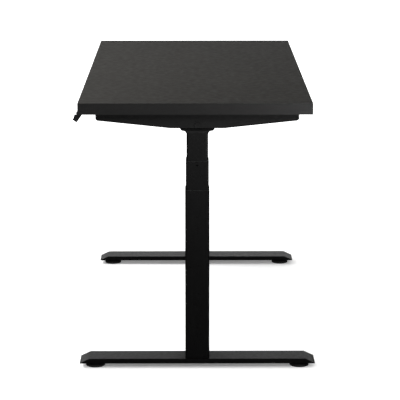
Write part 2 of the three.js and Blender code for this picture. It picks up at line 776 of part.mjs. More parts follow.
function controlBox() {
  const group = new THREE.Group();
  group.add(controlBoxCover(), controlBoxPlate(), controlBoard(), mainsInlet());
  group.position.y = FRAME_Y;
  return group;
}

// ---- Handset ----

const FASCIA_THICKNESS = 2;
const FASCIA_MARGIN_X = 2; // of the housing round the fascia
const FASCIA_MARGIN_Y = 2.5;
const FASCIA_CORNER = 2;
const BUTTON_RADIUS = 4;
const BUTTON_TRAVEL = 0.8;
const BUTTON_PROUD = 1.2;
const BUTTON_FLANGE = 1.2; // how far it reaches out behind the fascia
const BUTTON_FLANGE_THICKNESS = 1.3;
const BUTTON_STEM_RADIUS = 1.5;
const BUTTON_STEM_DEPTH = 3.9;
const BUTTON_CHAMFER = 0.4;
const BUTTON_COLUMNS = [-3, 10, 23];
const BUTTON_ROWS = [6.5, -6.5];
const BUTTON_NAMES = [
  ["up", "memory_1", "memory_2"],
  ["down", "memory_3", "save"],
];
const WINDOW_X = -21.5;
const WINDOW_WIDTH = 20;
const WINDOW_HEIGHT = 12;
const HANDSET_BOARD_MARGIN_X = 4;
const HANDSET_BOARD_MARGIN_Y = 6;

// Side view of the housing in Y and Z, drawn in by inset: a sloping slab under a level tongue
function handsetOutline(inset) {
  const slope = { y: Math.cos(HANDSET_TILT), z: Math.sin(HANDSET_TILT) };
  const top = UNDERSIDE - GAP;
  const faceBottomZ = top - HANDSET_FACE * slope.z;
  const endY = HANDSET_FRONT + inset * (slope.z + slope.y);
  const endZ = faceBottomZ + inset * (slope.z - slope.y);
  const thick = HANDSET_THICKNESS - 2 * inset;
  const backY = endY + thick * slope.z;
  const backZ = endZ - thick * slope.y;
  const tongueZ = top - HANDSET_TONGUE + inset;
  const faceTopZ = top - inset;
  return polygon([
    [endY, endZ],
    [backY, backZ],
    [backY + ((tongueZ - backZ) * slope.y) / slope.z, tongueZ],
    [HANDSET_BACK - inset, tongueZ],
    [HANDSET_BACK - inset, faceTopZ],
    [endY + ((faceTopZ - endZ) * slope.y) / slope.z, faceTopZ],
  ]);
}

// Places pieces on the sloping face: x along the desk, y up the slope, z out of the face
function faceFrame() {
  const group = new THREE.Group();
  const half = HANDSET_FACE / 2;
  const bottomZ = UNDERSIDE - GAP - HANDSET_FACE * Math.sin(HANDSET_TILT);
  group.rotation.x = HANDSET_TILT;
  group.position.set(
    HANDSET_X,
    HANDSET_FRONT + half * Math.cos(HANDSET_TILT),
    bottomZ + half * Math.sin(HANDSET_TILT),
  );
  group.updateMatrix();
  return group;
}

function handsetHousing() {
  const half = HANDSET_LENGTH / 2;
  const shell = prismX(handsetOutline(0), -half, half);
  const hollow = prismX(handsetOutline(HANDSET_WALL), HANDSET_WALL - half, half - HANDSET_WALL);
  const faceLength = HANDSET_LENGTH - 2 * FASCIA_MARGIN_X;
  const face = roundedRect(faceLength, HANDSET_FACE - 2 * FASCIA_MARGIN_Y, FASCIA_CORNER);
  const faceHole = prismZ(face, -FASCIA_THICKNESS - 1, 1);
  const gland = circle(HANDSET_LEAD_RADIUS + GAP, HANDSET_LEAD_Y, HANDSET_TONGUE_Z);
  const placement = faceFrame();
  faceHole.applyMatrix4(placement.matrix).translate(-HANDSET_X, 0, 0);
  const glandHole = prismX(gland, -half - 1, HANDSET_WALL - half + 1);
  const housing = cut(shell, hollow, faceHole, glandHole);
  return named("handset_housing", "plastic", housing.translate(HANDSET_X, 0, 0));
}

function handsetFascia() {
  const length = HANDSET_LENGTH - 2 * FASCIA_MARGIN_X - 2 * GAP;
  const height = HANDSET_FACE - 2 * FASCIA_MARGIN_Y - 2 * GAP;
  const face = roundedRect(length, height, FASCIA_CORNER);
  const opening = block(
    WINDOW_X - WINDOW_WIDTH / 2 - GAP,
    WINDOW_X + WINDOW_WIDTH / 2 + GAP,
    -WINDOW_HEIGHT / 2 - GAP,
    WINDOW_HEIGHT / 2 + GAP,
    -FASCIA_THICKNESS - 1,
    1,
  );
  const holes = BUTTON_ROWS.flatMap((y) =>
    BUTTON_COLUMNS.map((x) => cylinder(BUTTON_RADIUS + GAP, -5, 1, 12).translate(x, y, 0)),
  );
  return named("handset_fascia", "gloss", cut(prismZ(face, -FASCIA_THICKNESS, 0), opening, ...holes));
}

function displayWindow() {
  const pane = prismZ(roundedRect(WINDOW_WIDTH, WINDOW_HEIGHT, 0.8), -FASCIA_THICKNESS, -0.2);
  return named("display_window", "gloss", pane.translate(WINDOW_X, 0, 0));
}

function handsetBoard() {
  const bottom = -HANDSET_THICKNESS + HANDSET_WALL + 1.5;
  const length = HANDSET_LENGTH - 2 * HANDSET_BOARD_MARGIN_X;
  const height = HANDSET_FACE - 2 * HANDSET_BOARD_MARGIN_Y;
  const board = prismZ(roundedRect(length, height, 1), bottom, bottom + BOARD_THICKNESS);
  return named("handset_board", "board", board.translate(0, -1.5, 0));
}

function button(label, x, y) {
  const flangeTop = -FASCIA_THICKNESS - GAP;
  const flangeBottom = flangeTop - BUTTON_FLANGE_THICKNESS;
  const stemBottom = flangeTop - BUTTON_STEM_DEPTH;
  const profile = [
    [0, stemBottom],
    [BUTTON_STEM_RADIUS, stemBottom],
    [BUTTON_STEM_RADIUS, flangeBottom],
    [BUTTON_RADIUS + BUTTON_FLANGE, flangeBottom],
    [BUTTON_RADIUS + BUTTON_FLANGE, flangeTop],
    [BUTTON_RADIUS, flangeTop],
    [BUTTON_RADIUS, BUTTON_PROUD - BUTTON_CHAMFER],
    [BUTTON_RADIUS - BUTTON_CHAMFER, BUTTON_PROUD],
    [0, BUTTON_PROUD],
  ];
  return named(`button_${label}`, "button", turned(profile, 12).translate(x, y, 0));
}

function handset() {
  const onFace = faceFrame();
  onFace.add(handsetFascia(), displayWindow(), handsetBoard());
  BUTTON_ROWS.forEach((y, row) => {
    BUTTON_COLUMNS.forEach((x, column) => {
      onFace.add(button(BUTTON_NAMES[row][column], x, y));
    });
  });
  const group = new THREE.Group();
  group.add(handsetHousing(), onFace);
  return group;
}

// ---- Leads held under the desktop ----

function lead(name, radius, route, steps) {
  const points = route.map(([x, y, z]) => new THREE.Vector3(x, y, z));
  const path = new THREE.CatmullRomCurve3(points, false, "centripetal");
  const options = { extrudePath: path, steps, bevelEnabled: false, curveSegments: 1 };
  return named(name, "rubber", new THREE.ExtrudeGeometry(circle(radius), options));
}

// Each lead's bends: [along, across, up] from the point named. Along is towards the desk's middle
const FROM_MOTOR = [[0, 0, 0], [14, 0, 0], [34, 3, 12], [60, 10, 18]];
const TO_MOTOR_PORT = [[-70, 0, 12], [-38, 0, 9], [-14, 0, 0], [0, 0, 0]];
const FROM_HANDSET = [[0, 0, 0], [14, 0, 0], [45, 14, 1], [150, 80, 1]];
const THROUGH_RAIL = [[-30, -45, 15.3], [-8, -16, 2], [0, 1, 0], [6, 24, 0], [45, 60, 8.6]];
const TO_HANDSET_PORT = [[-50, -8, 6], [-16, 0, 0], [0, 0, 0]];

function bends(offsets, x, y, z) {
  return offsets.map(([along, across, up]) => [x - along, y + across, z + up]);
}

// side is 1 for the right leg and -1 for the left
function motorLead(name, side) {
  const route = [
    ...bends(FROM_MOTOR, LEG_X - MOTOR_BACK - GAP, FRAME_Y, MOTOR_Z),
    ...bends(TO_MOTOR_PORT, BOX_LENGTH / 2 + GAP, FRAME_Y + MOTOR_PORT_Y, BOX_PORT_Z),
  ];
  return lead(name, MOTOR_LEAD_RADIUS, route.map(([x, y, z]) => [side * x, y, z]), 26);
}

function handsetLead() {
  const glandX = HANDSET_X - HANDSET_LENGTH / 2 - GAP;
  const webY = FRAME_Y - RAIL_SPREAD - RAIL_WIDTH / 2;
  const route = [
    ...bends(FROM_HANDSET, glandX, HANDSET_LEAD_Y, HANDSET_TONGUE_Z),
    ...bends(THROUGH_RAIL, HANDSET_LEAD_HOLE_X, webY, RAIL_MIDDLE_Z),
    ...bends(TO_HANDSET_PORT, BOX_LENGTH / 2 + GAP, FRAME_Y + HANDSET_PORT_Y, BOX_PORT_Z),
  ];
  return lead("handset_lead", HANDSET_LEAD_RADIUS, route, 44);
}

// ---- Whole desk ----

const desk = new THREE.Group();

for (const [side, x, turn] of [["right", LEG_X, 0], ["left", -LEG_X, Math.PI]]) {
  const standing = leg(side);
  standing.position.set(x, FRAME_Y, 0);
  standing.rotation.z = turn;
  desk.add(standing);
  desk.add(glide(`${side}_front`, x, FRAME_Y - GLIDE_Y));
  desk.add(glide(`${side}_rear`, x, FRAME_Y + GLIDE_Y));
}

desk.add(desktop(), frontRail(), rearRail());
desk.add(controlBox(), handset());
desk.add(motorLead("right_motor_lead", 1), motorLead("left_motor_lead", -1), handsetLead());

export default desk;
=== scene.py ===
import json
import math

import bmesh
import bpy
from mathutils import Matrix, Vector


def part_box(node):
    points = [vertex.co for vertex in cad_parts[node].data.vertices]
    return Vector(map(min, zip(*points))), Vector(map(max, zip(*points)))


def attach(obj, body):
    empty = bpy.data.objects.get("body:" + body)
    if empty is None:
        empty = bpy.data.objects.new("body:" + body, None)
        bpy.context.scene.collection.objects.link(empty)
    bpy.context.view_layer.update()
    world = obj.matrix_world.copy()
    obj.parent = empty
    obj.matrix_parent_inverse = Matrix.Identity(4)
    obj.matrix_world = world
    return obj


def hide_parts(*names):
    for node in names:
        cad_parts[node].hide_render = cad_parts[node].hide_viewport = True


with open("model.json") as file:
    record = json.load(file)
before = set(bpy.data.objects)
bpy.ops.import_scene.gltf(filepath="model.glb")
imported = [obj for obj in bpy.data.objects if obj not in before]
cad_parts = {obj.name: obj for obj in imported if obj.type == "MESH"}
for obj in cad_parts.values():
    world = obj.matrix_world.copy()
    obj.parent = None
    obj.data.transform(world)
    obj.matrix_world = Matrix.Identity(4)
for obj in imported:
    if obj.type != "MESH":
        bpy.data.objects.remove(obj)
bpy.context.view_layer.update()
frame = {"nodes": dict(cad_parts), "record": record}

MM = 0.001
SIDES = (("right", 1), ("left", -1))

# ---- Sizes that the frame doesn't state, in metres ----

GAP = 0.3 * MM  # between pieces that touch
SHEET = 2.5 * MM  # folded steel
FOLD_RADIUS = 1.4 * MM
FOOT_FOLD = 30 * MM
FOOT_FOLD_DROP = 14 * MM
FOOT_SKIRT = 16.5 * MM  # height of the foot's lower edge over the floor
COLUMN_BOLT_SPREAD = 22 * MM
BOSS_RADIUS = 8 * MM
BOSS_CHAMFER = 0.6 * MM
BOSS_CLEARANCE = 0.4 * MM  # over the glide's pad

TUBE_WALL = 1.4 * MM
TUBE_CORNER = 5 * MM
RUNNING = 0.1 * MM  # between a guide and the tube that slides in it
GUIDE_LIP = 2 * MM
PEG_RADIUS = 3.6 * MM
PEG_DROP = 11.5 * MM  # below the tube's mouth
PEG_RECESS = 0.7 * MM
COLLAR_NECK = 1.6 * MM  # how far the collar's foot stands out from the tube
COLLAR_BAND = 9 * MM  # from the band's lower edge to the arm
COLLAR_DRAFT = 4 * MM  # how far the band leans in towards that edge
COLLAR_CORNER = 8 * MM
COLLAR_JOINT = 2.4 * MM  # height of the narrow joint under the arm

ARM_END_DEPTH = 25 * MM
ARM_FLAT_HALF = 81 * MM
ARM_CORNER = 8 * MM
ARM_FOLD_RADIUS = 1.2 * MM
ARM_LIP = 14 * MM  # width of the flange that the desktop lies on
ARM_SCREW_X = 28 * MM
ARM_SCREW_Y = (150 * MM, 262 * MM)
ACCESS_RADIUS = 6 * MM  # holes for the screwdriver
SHAFT_HOLE_RADIUS = 13 * MM
MOTOR_DOOR_HALF = (24 * MM, 19.75 * MM)
ARCH_RADIUS = 9.2 * MM
ARCH_PROUD = 1.1 * MM

RAIL_HALF = 12.5 * MM
RAIL_SHEET = 2 * MM
RAIL_PLATE = 3 * MM
LEAD_HOLE_X = 300 * MM
LEAD_HOLE_HALF = 7 * MM
LEAD_HOLE_RISE = 1 * MM  # above the rail's middle

BOX_WALL = 2.2 * MM
BOX_CORNER = 6 * MM
VENTS = 14
VENT_PITCH = 9 * MM
PORT_SPREAD = 25 * MM
PORT_Z = 785 * MM
MOTOR_CABLE_RADIUS = 3 * MM
HANDSET_CABLE_RADIUS = 2.2 * MM
GLAND_Y = -322 * MM

HANDSET_TILT = math.radians(55)
HANDSET_FACE = 31.4 * MM
HANDSET_THICKNESS = 15.5 * MM
HANDSET_TONGUE = 10 * MM
HANDSET_WALL = 2 * MM
FASCIA_THICKNESS = 2 * MM

DESKTOP_LOW, DESKTOP_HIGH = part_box("desktop")
UNDERSIDE = DESKTOP_LOW.z
FOOT_LOW, FOOT_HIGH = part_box("right_foot")
FRAME_Y = (FOOT_LOW.y + FOOT_HIGH.y) / 2
FOOT_HALF_WIDTH = (FOOT_HIGH.x - FOOT_LOW.x) / 2
ARM_LOW, ARM_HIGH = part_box("right_side_arm")
LEG_X = (FOOT_LOW.x + FOOT_HIGH.x) / 2
CORNERS = ((1, 1), (-1, 1), (-1, -1), (1, -1))
DOWN = (0, 0, -1)


# ---- Materials ----

def set_inputs(node, **values):
    """Gives a node's inputs their values. An underscore stands for a space in an input's name."""
    for label, value in values.items():
        node.inputs[label.replace("_", " ")].default_value = value


class Shader:
    """One Principled material and the nodes that feed it. Textures follow the piece, in metres."""

    def __init__(self, name, color, roughness, **constants):
        self.material = bpy.data.materials.new(name)
        self.material.use_nodes = True
        self.tree = self.material.node_tree
        self.bsdf = self.tree.nodes["Principled BSDF"]
        set_inputs(self.bsdf, Base_Color=(*color, 1), Roughness=roughness, **constants)
        self.coordinates = self.node("ShaderNodeTexCoord").outputs["Object"]
        self.height = None

    def node(self, kind, **values):
        made = self.tree.nodes.new(kind)
        for label, value in values.items():
            setattr(made, label, value)
        return made

    def link(self, source, target):
        self.tree.links.new(source, target)

    def noise(self, scale, detail=3, stretch=(1, 1, 1)):
        mapping = self.node("ShaderNodeMapping")
        set_inputs(mapping, Scale=stretch)
        self.link(self.coordinates, mapping.inputs["Vector"])
        texture = self.node("ShaderNodeTexNoise")
        set_inputs(texture, Scale=scale, Detail=detail)
        self.link(mapping.outputs["Vector"], texture.inputs["Vector"])
        return texture.outputs["Fac"]

    def cells(self, scale):
        texture = self.node("ShaderNodeTexVoronoi", feature="SMOOTH_F1")
        set_inputs(texture, Scale=scale)
        self.link(self.coordinates, texture.inputs["Vector"])
        return texture.outputs["Distance"]

    def spread(self, source, low, high, start=0.3, end=0.7):
        span = self.node("ShaderNodeMapRange")
        set_inputs(span, From_Min=start, From_Max=end, To_Min=low, To_Max=high)
        self.link(source, span.inputs["Value"])
        return span.outputs["Result"]

    def shades(self, source, dark, light, start=0.3, end=0.7):
        ramp = self.node("ShaderNodeValToRGB")
        for element, position, color in zip(ramp.color_ramp.elements, (start, end), (dark, light)):
            element.position = position
            element.color = (*color, 1)
        self.link(source, ramp.inputs["Fac"])
        self.link(ramp.outputs["Color"], self.bsdf.inputs["Base Color"])

    def rough(self, source, low, high):
        self.link(self.spread(source, low, high), self.bsdf.inputs["Roughness"])

    def bump(self, source, depth, strength=1.0):
        """Adds relief of the given depth in metres, over what is there already."""
        made = self.node("ShaderNodeBump")
        set_inputs(made, Distance=depth, Strength=strength)
        self.link(source, made.inputs["Height"])
        if self.height is not None:
            self.link(self.height, made.inputs["Normal"])
        self.height = made.outputs["Normal"]
        self.link(self.height, self.bsdf.inputs["Normal"])


def scaled(color, factor):
    return tuple(channel * factor for channel in color)


def laminate(name, color, roughness, specular):
    """Pearl-textured laminate: fine pebbles over a faint, slow change of tone."""
    made = Shader(name, color, roughness, Specular_IOR_Level=specular)
    made.shades(made.noise(9, 5, (0.5, 1, 1)), scaled(color, 0.95), scaled(color, 1.05))
    made.rough(made.noise(60, 4), roughness - 0.04, roughness + 0.05)
    made.bump(made.cells(900), 0.05 * MM, 0.5)
    made.bump(made.noise(2200, 2), 0.02 * MM, 0.4)
    return made.material


def powder_coat(name, color, roughness, texture, specular):
    """Baked powder paint: orange peel, with a slight change of gloss."""
    made = Shader(name, color, roughness, Specular_IOR_Level=specular)
    made.shades(made.noise(35, 4), scaled(color, 0.93), scaled(color, 1.08))
    made.rough(made.noise(90, 3), roughness - 0.03, roughness + 0.05)
    made.bump(made.noise(1100, 3), texture, 0.6)
    made.bump(made.noise(180, 2), texture * 0.3, 0.3)
    return made.material


def moulded(name, color, roughness, grain=0.04 * MM, specular=0.4):
    """Moulded plastic with a spark-eroded grain."""
    made = Shader(name, color, roughness, Specular_IOR_Level=specular)
    made.shades(made.noise(50, 3), scaled(color, 0.9), scaled(color, 1.15))
    made.rough(made.noise(140, 3), roughness - 0.05, roughness + 0.05)
    made.bump(made.cells(1400), grain, 0.5)
    return made.material


def gloss(name, color):
    """Polished plastic with faint finger smears in its gloss."""
    made = Shader(name, color, 0.14, Specular_IOR_Level=0.35, Coat_Weight=0.2, Coat_Roughness=0.1)
    made.shades(made.noise(30, 2), scaled(color, 0.9), scaled(color, 1.1))
    made.rough(made.noise(45, 5, (1, 2, 1)), 0.1, 0.24)
    return made.material


def rubber(name, color):
    made = Shader(name, color, 0.8, Specular_IOR_Level=0.3)
    made.shades(made.noise(80, 5), scaled(color, 0.8), scaled(color, 1.3))
    made.rough(made.noise(200, 3), 0.7, 0.9)
    made.bump(made.noise(700, 4), 0.05 * MM, 0.6)
    return made.material


def bare_metal(name, color, roughness):
    """Turned or plated metal with fine tool marks."""
    grain = (1, 1, 8)
    made = Shader(name, color, roughness, Metallic=1.0)
    made.shades(made.noise(240, 4), scaled(color, 0.93), scaled(color, 1.05))
    made.rough(made.noise(300, 3, grain), roughness - 0.05, roughness + 0.08)
    made.bump(made.noise(900, 2, grain), 0.01 * MM, 0.5)
    return made.material


def circuit_board(name, color):
    """Solder resist with darker tracks."""
    made = Shader(name, color, 0.4, Specular_IOR_Level=0.5)
    made.shades(made.cells(180), scaled(color, 0.5), color, 0.1, 0.25)
    made.rough(made.noise(120, 3), 0.3, 0.5)
    made.bump(made.cells(400), 0.03 * MM, 0.4)
    return made.material


BLACK = (0.0017, 0.0017, 0.0017)
MATERIAL = {
    "laminate": laminate("desktop_laminate", (0.0158, 0.0149, 0.0131), 0.56, 0.03),
    # Painted shade: the edge band is coloured far darker than the top, which stands for the shade on the
    # board's upright sides; the band and its stronger sheen are real.
    "edge": laminate("desktop_edge_band_and_painted_shade", (0.0022, 0.0021, 0.0020), 0.36, 0.24),
    "frame_paint": powder_coat("frame_powder_coat", BLACK, 0.58, 0.05 * MM, 0.18),
    "foot_paint": powder_coat("foot_powder_coat", scaled(BLACK, 0.6), 0.40, 0.05 * MM, 0.12),
    "tube_paint": powder_coat("tube_powder_coat", scaled(BLACK, 0.9), 0.30, 0.025 * MM, 0.11),
    "black_plastic": moulded("moulded_black", scaled(BLACK, 1.1), 0.5, 0.04 * MM, 0.25),
    "gloss_black": gloss("gloss_black", (0.006, 0.006, 0.0065)),
    "button_grey": moulded("button_grey", (0.035, 0.036, 0.038), 0.45, 0.02 * MM),
    "rubber": rubber("rubber", (0.007, 0.007, 0.007)),
    "zinc": bare_metal("bright_zinc", (0.55, 0.56, 0.58), 0.32),
    "bronze": bare_metal("bronze", (0.50, 0.33, 0.14), 0.35),
    "casting": powder_coat("coated_casting", scaled(BLACK, 2), 0.5, 0.07 * MM, 0.12),
    "circuit_board": circuit_board("circuit_board", (0.02, 0.10, 0.035)),
}
# Painted shade: a near-black, matt material that stands for the shade in the guide pegs' recesses and in
# the gap of the joint under each arm.
PAINTED_SHADE_BLACK = moulded("painted_shade_black", scaled(BLACK, 0.4), 0.7, 0.02 * MM, 0.03)
BLACK_OXIDE = bare_metal("black_oxide", (0.03, 0.03, 0.031), 0.4)
PRINT = moulded("printed_mark", (0.42, 0.43, 0.44), 0.5, 0.005 * MM)
UNLIT = moulded("unlit_segment", (0.035, 0.034, 0.034), 0.3, 0.005 * MM)


# ---- Outlines ----

def rounded_rect(half_x, half_y, radius, steps=6, centre=(0, 0)):
    """Points of a rectangle with round corners, anticlockwise from the middle of the right side."""
    points = []
    for quarter, (sign_x, sign_y) in enumerate(CORNERS):
        for step in range(steps + 1):
            angle = (quarter + step / steps) * math.pi / 2
            points.append((
                centre[0] + sign_x * (half_x - radius) + radius * math.cos(angle),
                centre[1] + sign_y * (half_y - radius) + radius * math.sin(angle),
            ))
    return points


def angles(steps):
    """Angles spaced evenly round a circle."""
    return [2 * math.pi * step / steps for step in range(steps)]


def circle(radius, steps=24, centre=(0, 0)):
    x, y = centre
    return [(x + radius * math.cos(a), y + radius * math.sin(a)) for a in angles(steps)]


def mirrored(half):
    """A whole outline from its points at positive x."""
    return half + [(-x, y) for x, y in reversed(half)]


# ---- Meshes ----

SHARP_ANGLE = math.radians(32)
BEVEL_ANGLE = math.radians(20)  # only edges that turn by more than this are rounded
AXES = {
    "X": Matrix(((0, 0, 1, 0), (1, 0, 0, 0), (0, 1, 0, 0), (0, 0, 0, 1))),
    "Y": Matrix(((1, 0, 0, 0), (0, 0, -1, 0), (0, 1, 0, 0), (0, 0, 0, 1))),
    "Z": Matrix.Identity(4),
}


def skin(bm, rings, closed=False):
    """Joins rings of points with quads. The ends are capped, or joined to each other if closed."""
    loops = [[bm.verts.new(point) for point in ring] for ring in rings]
    pairs = list(zip(loops, loops[1:]))
    if closed:
        pairs.append((loops[-1], loops[0]))
    count = len(loops[0])
    for lower, upper in pairs:
        for i in range(count):
            j = (i + 1) % count
            bm.faces.new((lower[i], lower[j], upper[j], upper[i]))
    if not closed:
        bm.faces.new(list(reversed(loops[0])))
        bm.faces.new(loops[-1])
    return bm


def bevelled(bm, width, segments):
    edges = [e for e in bm.edges if e.is_manifold and e.calc_face_angle(0) > BEVEL_ANGLE]
    bmesh.ops.bevel(bm, geom=edges, offset=width, segments=segments, profile=0.5, affect="EDGES")


def prism(outline, axis, low, high, bevel=0.0, segments=3):
    """An outline pushed along X, Y or Z. Its x and y are Y and Z, X and Z, or X and Y."""
    if axis == "Y":
        low, high = -high, -low
    rings = [[(x, y, level) for x, y in outline] for level in (low, high)]
    bm = skin(bmesh.new(), rings)
    if bevel:
        bevelled(bm, bevel, segments)
    bmesh.ops.transform(bm, matrix=AXES[axis], verts=bm.verts)
    return bm


def turned(profile, sides=48, closed=False):
    """A body of revolution about Z from (radius, height) pairs, with flat ends or closed to a tube."""
    rings = [[(x, y, height) for x, y in circle(radius, sides)] for radius, height in profile]
    return skin(bmesh.new(), rings, closed)


def block(low, high, bevel=0.0, segments=2):
    outline = [(low[0], low[1]), (high[0], low[1]), (high[0], high[1]), (low[0], high[1])]
    return prism(outline, "Z", low[2], high[2], bevel, segments)


def moved(bm, matrix=None, at=(0, 0, 0)):
    bmesh.ops.transform(bm, matrix=Matrix.Translation(at) @ (matrix or Matrix()), verts=bm.verts)
    return bm


def joined(*parts):
    """One mesh from several."""
    whole = bmesh.new()
    for part in parts:
        mesh = bpy.data.meshes.new("part")
        part.to_mesh(mesh)
        part.free()
        whole.from_mesh(mesh)
        bpy.data.meshes.remove(mesh)
    return whole


def as_object(name, bm):
    bmesh.ops.recalc_face_normals(bm, faces=bm.faces)
    mesh = bpy.data.meshes.new(name)
    bm.to_mesh(mesh)
    bm.free()
    made = bpy.data.objects.new(name, mesh)
    bpy.context.collection.objects.link(made)
    return made


def carved(bm, *cutters):
    """The mesh with each cutter taken out of it."""
    piece = as_object("blank", bm)
    tools = [as_object("cutter", cutter) for cutter in cutters]
    for tool in tools:
        modifier = piece.modifiers.new("cut", "BOOLEAN")
        modifier.operation = "DIFFERENCE"
        modifier.solver = "EXACT"
        modifier.object = tool
    bpy.context.view_layer.update()
    shaped = piece.evaluated_get(bpy.context.evaluated_depsgraph_get())
    result = bmesh.new()
    result.from_mesh(shaped.to_mesh())
    shaped.to_mesh_clear()
    for spare in [piece, *tools]:
        mesh = spare.data
        bpy.data.objects.remove(spare)
        bpy.data.meshes.remove(mesh)
    return result


def finished(piece):
    """Smooth shading that keeps the edges sharper than SHARP_ANGLE."""
    piece.data.shade_smooth()
    piece.data.set_sharp_from_angle(angle=SHARP_ANGLE)
    weighted = piece.modifiers.new("even_shading", "WEIGHTED_NORMAL")
    weighted.keep_sharp = True
    return piece


def make(name, bm, body, slot, replaces=(), material=None):
    """A visible piece that rides on a body and takes its finish from a slot of the record, or else the
    material given.
    """
    piece = finished(as_object(name, bm))
    piece.data.materials.append(material or MATERIAL[slot])
    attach(piece, body)
    if replaces:
        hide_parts(*replaces)
    return piece


def centre_of(node):
    low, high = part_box(node)
    return (low + high) / 2


# ---- Fasteners ----

# Radius and height of each kind of head.
COLUMN_BOLT = (6.5 * MM, 4.5 * MM)
RAIL_BOLT = (5 * MM, 3.6 * MM)
FLANGE_BOLT = (3.6 * MM, 2.4 * MM)
WOOD_SCREW = (4.5 * MM, 2.6 * MM)
HANDSET_SCREW = (4 * MM, 2.2 * MM)
COVER_SCREW = (2.8 * MM, 1.2 * MM)
CLIP_SCREW = (2.6 * MM, 1.3 * MM)
MOTOR_SCREW = (1.7 * MM, 1.2 * MM)


def polar(reach, steps, height):
    """A ring of points whose distance from the axis is a function of the angle."""
    return [(reach(a) * math.cos(a), reach(a) * math.sin(a), height) for a in angles(steps)]


def hexagon_reach(radius):
    sixth = math.pi / 3
    return lambda a: radius * math.cos(sixth / 2) / math.cos(a % sixth - sixth / 2)


def cross_reach(radius, width):
    def reach(angle):
        turn = abs((angle + math.pi / 4) % (math.pi / 2) - math.pi / 4)
        return min(radius, width / max(math.sin(turn), 1e-3))
    return reach


def head(radius, height, socket):
    """A round screw head with a driving recess, standing on z = 0."""
    # Shares of the radius, or of the socket's reach, and of the height.
    outside = [(0.96, 0), (1, 0.12), (1, 0.6), (0.93, 0.86), (0.8, 1)]
    recess = [(1.04, 1), (1, 0.97), (1, 0.4)]
    rings = [polar(lambda a: radius * share, 48, height * level) for share, level in outside]
    rings += [polar(lambda a: socket(a) * share, 48, height * level) for share, level in recess]
    return skin(bmesh.new(), rings)


def fastener(name, at, facing, body, size, cross=False):
    """A screw head at a point, facing along a direction, with a hexagon or a cross in it."""
    radius, height = size
    socket = cross_reach(radius * 0.6, radius * 0.13) if cross else hexagon_reach(radius * 0.52)
    turn = Vector(facing).to_track_quat("Z", "Y").to_matrix().to_4x4()
    make(name, moved(head(radius, height, socket), turn, at), body, "zinc", material=BLACK_OXIDE)


# ---- Desktop ----

def desktop():
    """The board, with the laminate on its two faces and a band around its edge, the band coloured darker
    than the top as painted shade on the upright sides.
    """
    bm = block(DESKTOP_LOW, DESKTOP_HIGH, 0.9 * MM, 4)
    piece = make("desktop_board", bm, "top_frame", "laminate", ["desktop"])
    # upright faces take the darker edge material: painted shade
    piece.data.materials.append(MATERIAL["edge"])
    for face in piece.data.polygons:
        face.material_index = 0 if abs(face.normal.z) > 0.5 else 1


# ---- Feet ----

def foot_outline(inset):
    """Side view in Y and Z of a level plate with both ends bent down, moved inwards by inset.

    Gives the slope of the ends, the fold's y, the top's z and the tip's y and z.
    """
    slope = math.atan2(FOOT_FOLD_DROP, FOOT_FOLD)
    tip = (FOOT_HIGH.y - FOOT_LOW.y) / 2
    top = FOOT_HIGH.z - inset
    fold = tip - FOOT_FOLD - inset * math.tan(slope / 2)
    tip_y = tip - inset * math.sin(slope)
    tip_z = FOOT_HIGH.z - FOOT_FOLD_DROP - inset * math.cos(slope)
    return slope, fold, top, tip_y, tip_z


def foot_shell():
    slope, fold, top, tip_y, tip_z = foot_outline(0)
    in_y = tip_y - SHEET * math.sin(slope)
    in_z = tip_z - SHEET * math.cos(slope)
    skirt_y = in_y - (FOOT_SKIRT - in_z) / math.tan(slope)
    outer = mirrored([(skirt_y, FOOT_SKIRT), (in_y, in_z), (tip_y, tip_z), (fold, top)])
    _, fold, top, tip_y, tip_z = foot_outline(SHEET)
    inner = mirrored([(tip_y, -SHEET), (tip_y, tip_z), (fold, top)])
    half = FOOT_HALF_WIDTH
    shell = prism(outer, "X", -half, half, FOLD_RADIUS)
    return carved(shell, prism(inner, "X", SHEET - half, half - SHEET))


def threaded_boss(y):
    """The welded sleeve that a glide's stud screws into, seen from below."""
    low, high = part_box("right_front_glide_stud")
    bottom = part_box("right_front_glide_pad")[1].z + BOSS_CLEARANCE
    top = FOOT_HIGH.z - SHEET / 2
    bore = (high.x - low.x) / 2 + GAP
    profile = [
        (bore, top),
        (BOSS_RADIUS, top),
        (BOSS_RADIUS, bottom + BOSS_CHAMFER),
        (BOSS_RADIUS - BOSS_CHAMFER, bottom),
        (bore, bottom),
    ]
    return moved(turned(profile, 32, closed=True), at=(0, y, 0))


def foot(side, sign):
    glide_y = centre_of("right_rear_glide_pad").y - FRAME_Y
    bm = joined(foot_shell(), threaded_boss(glide_y), threaded_boss(-glide_y))
    bm = moved(bm, at=(sign * LEG_X, FRAME_Y, 0))
    make(f"{side}_foot_shell", bm, "base", "frame_paint", [f"{side}_foot"], MATERIAL["foot_paint"])
    underside = FOOT_HIGH.z - SHEET
    for i, (dx, dy) in enumerate(CORNERS):
        at = (sign * LEG_X + dx * COLUMN_BOLT_SPREAD, FRAME_Y + dy * COLUMN_BOLT_SPREAD, underside)
        fastener(f"{side}_column_bolt_{i + 1}", at, DOWN, "base", COLUMN_BOLT)


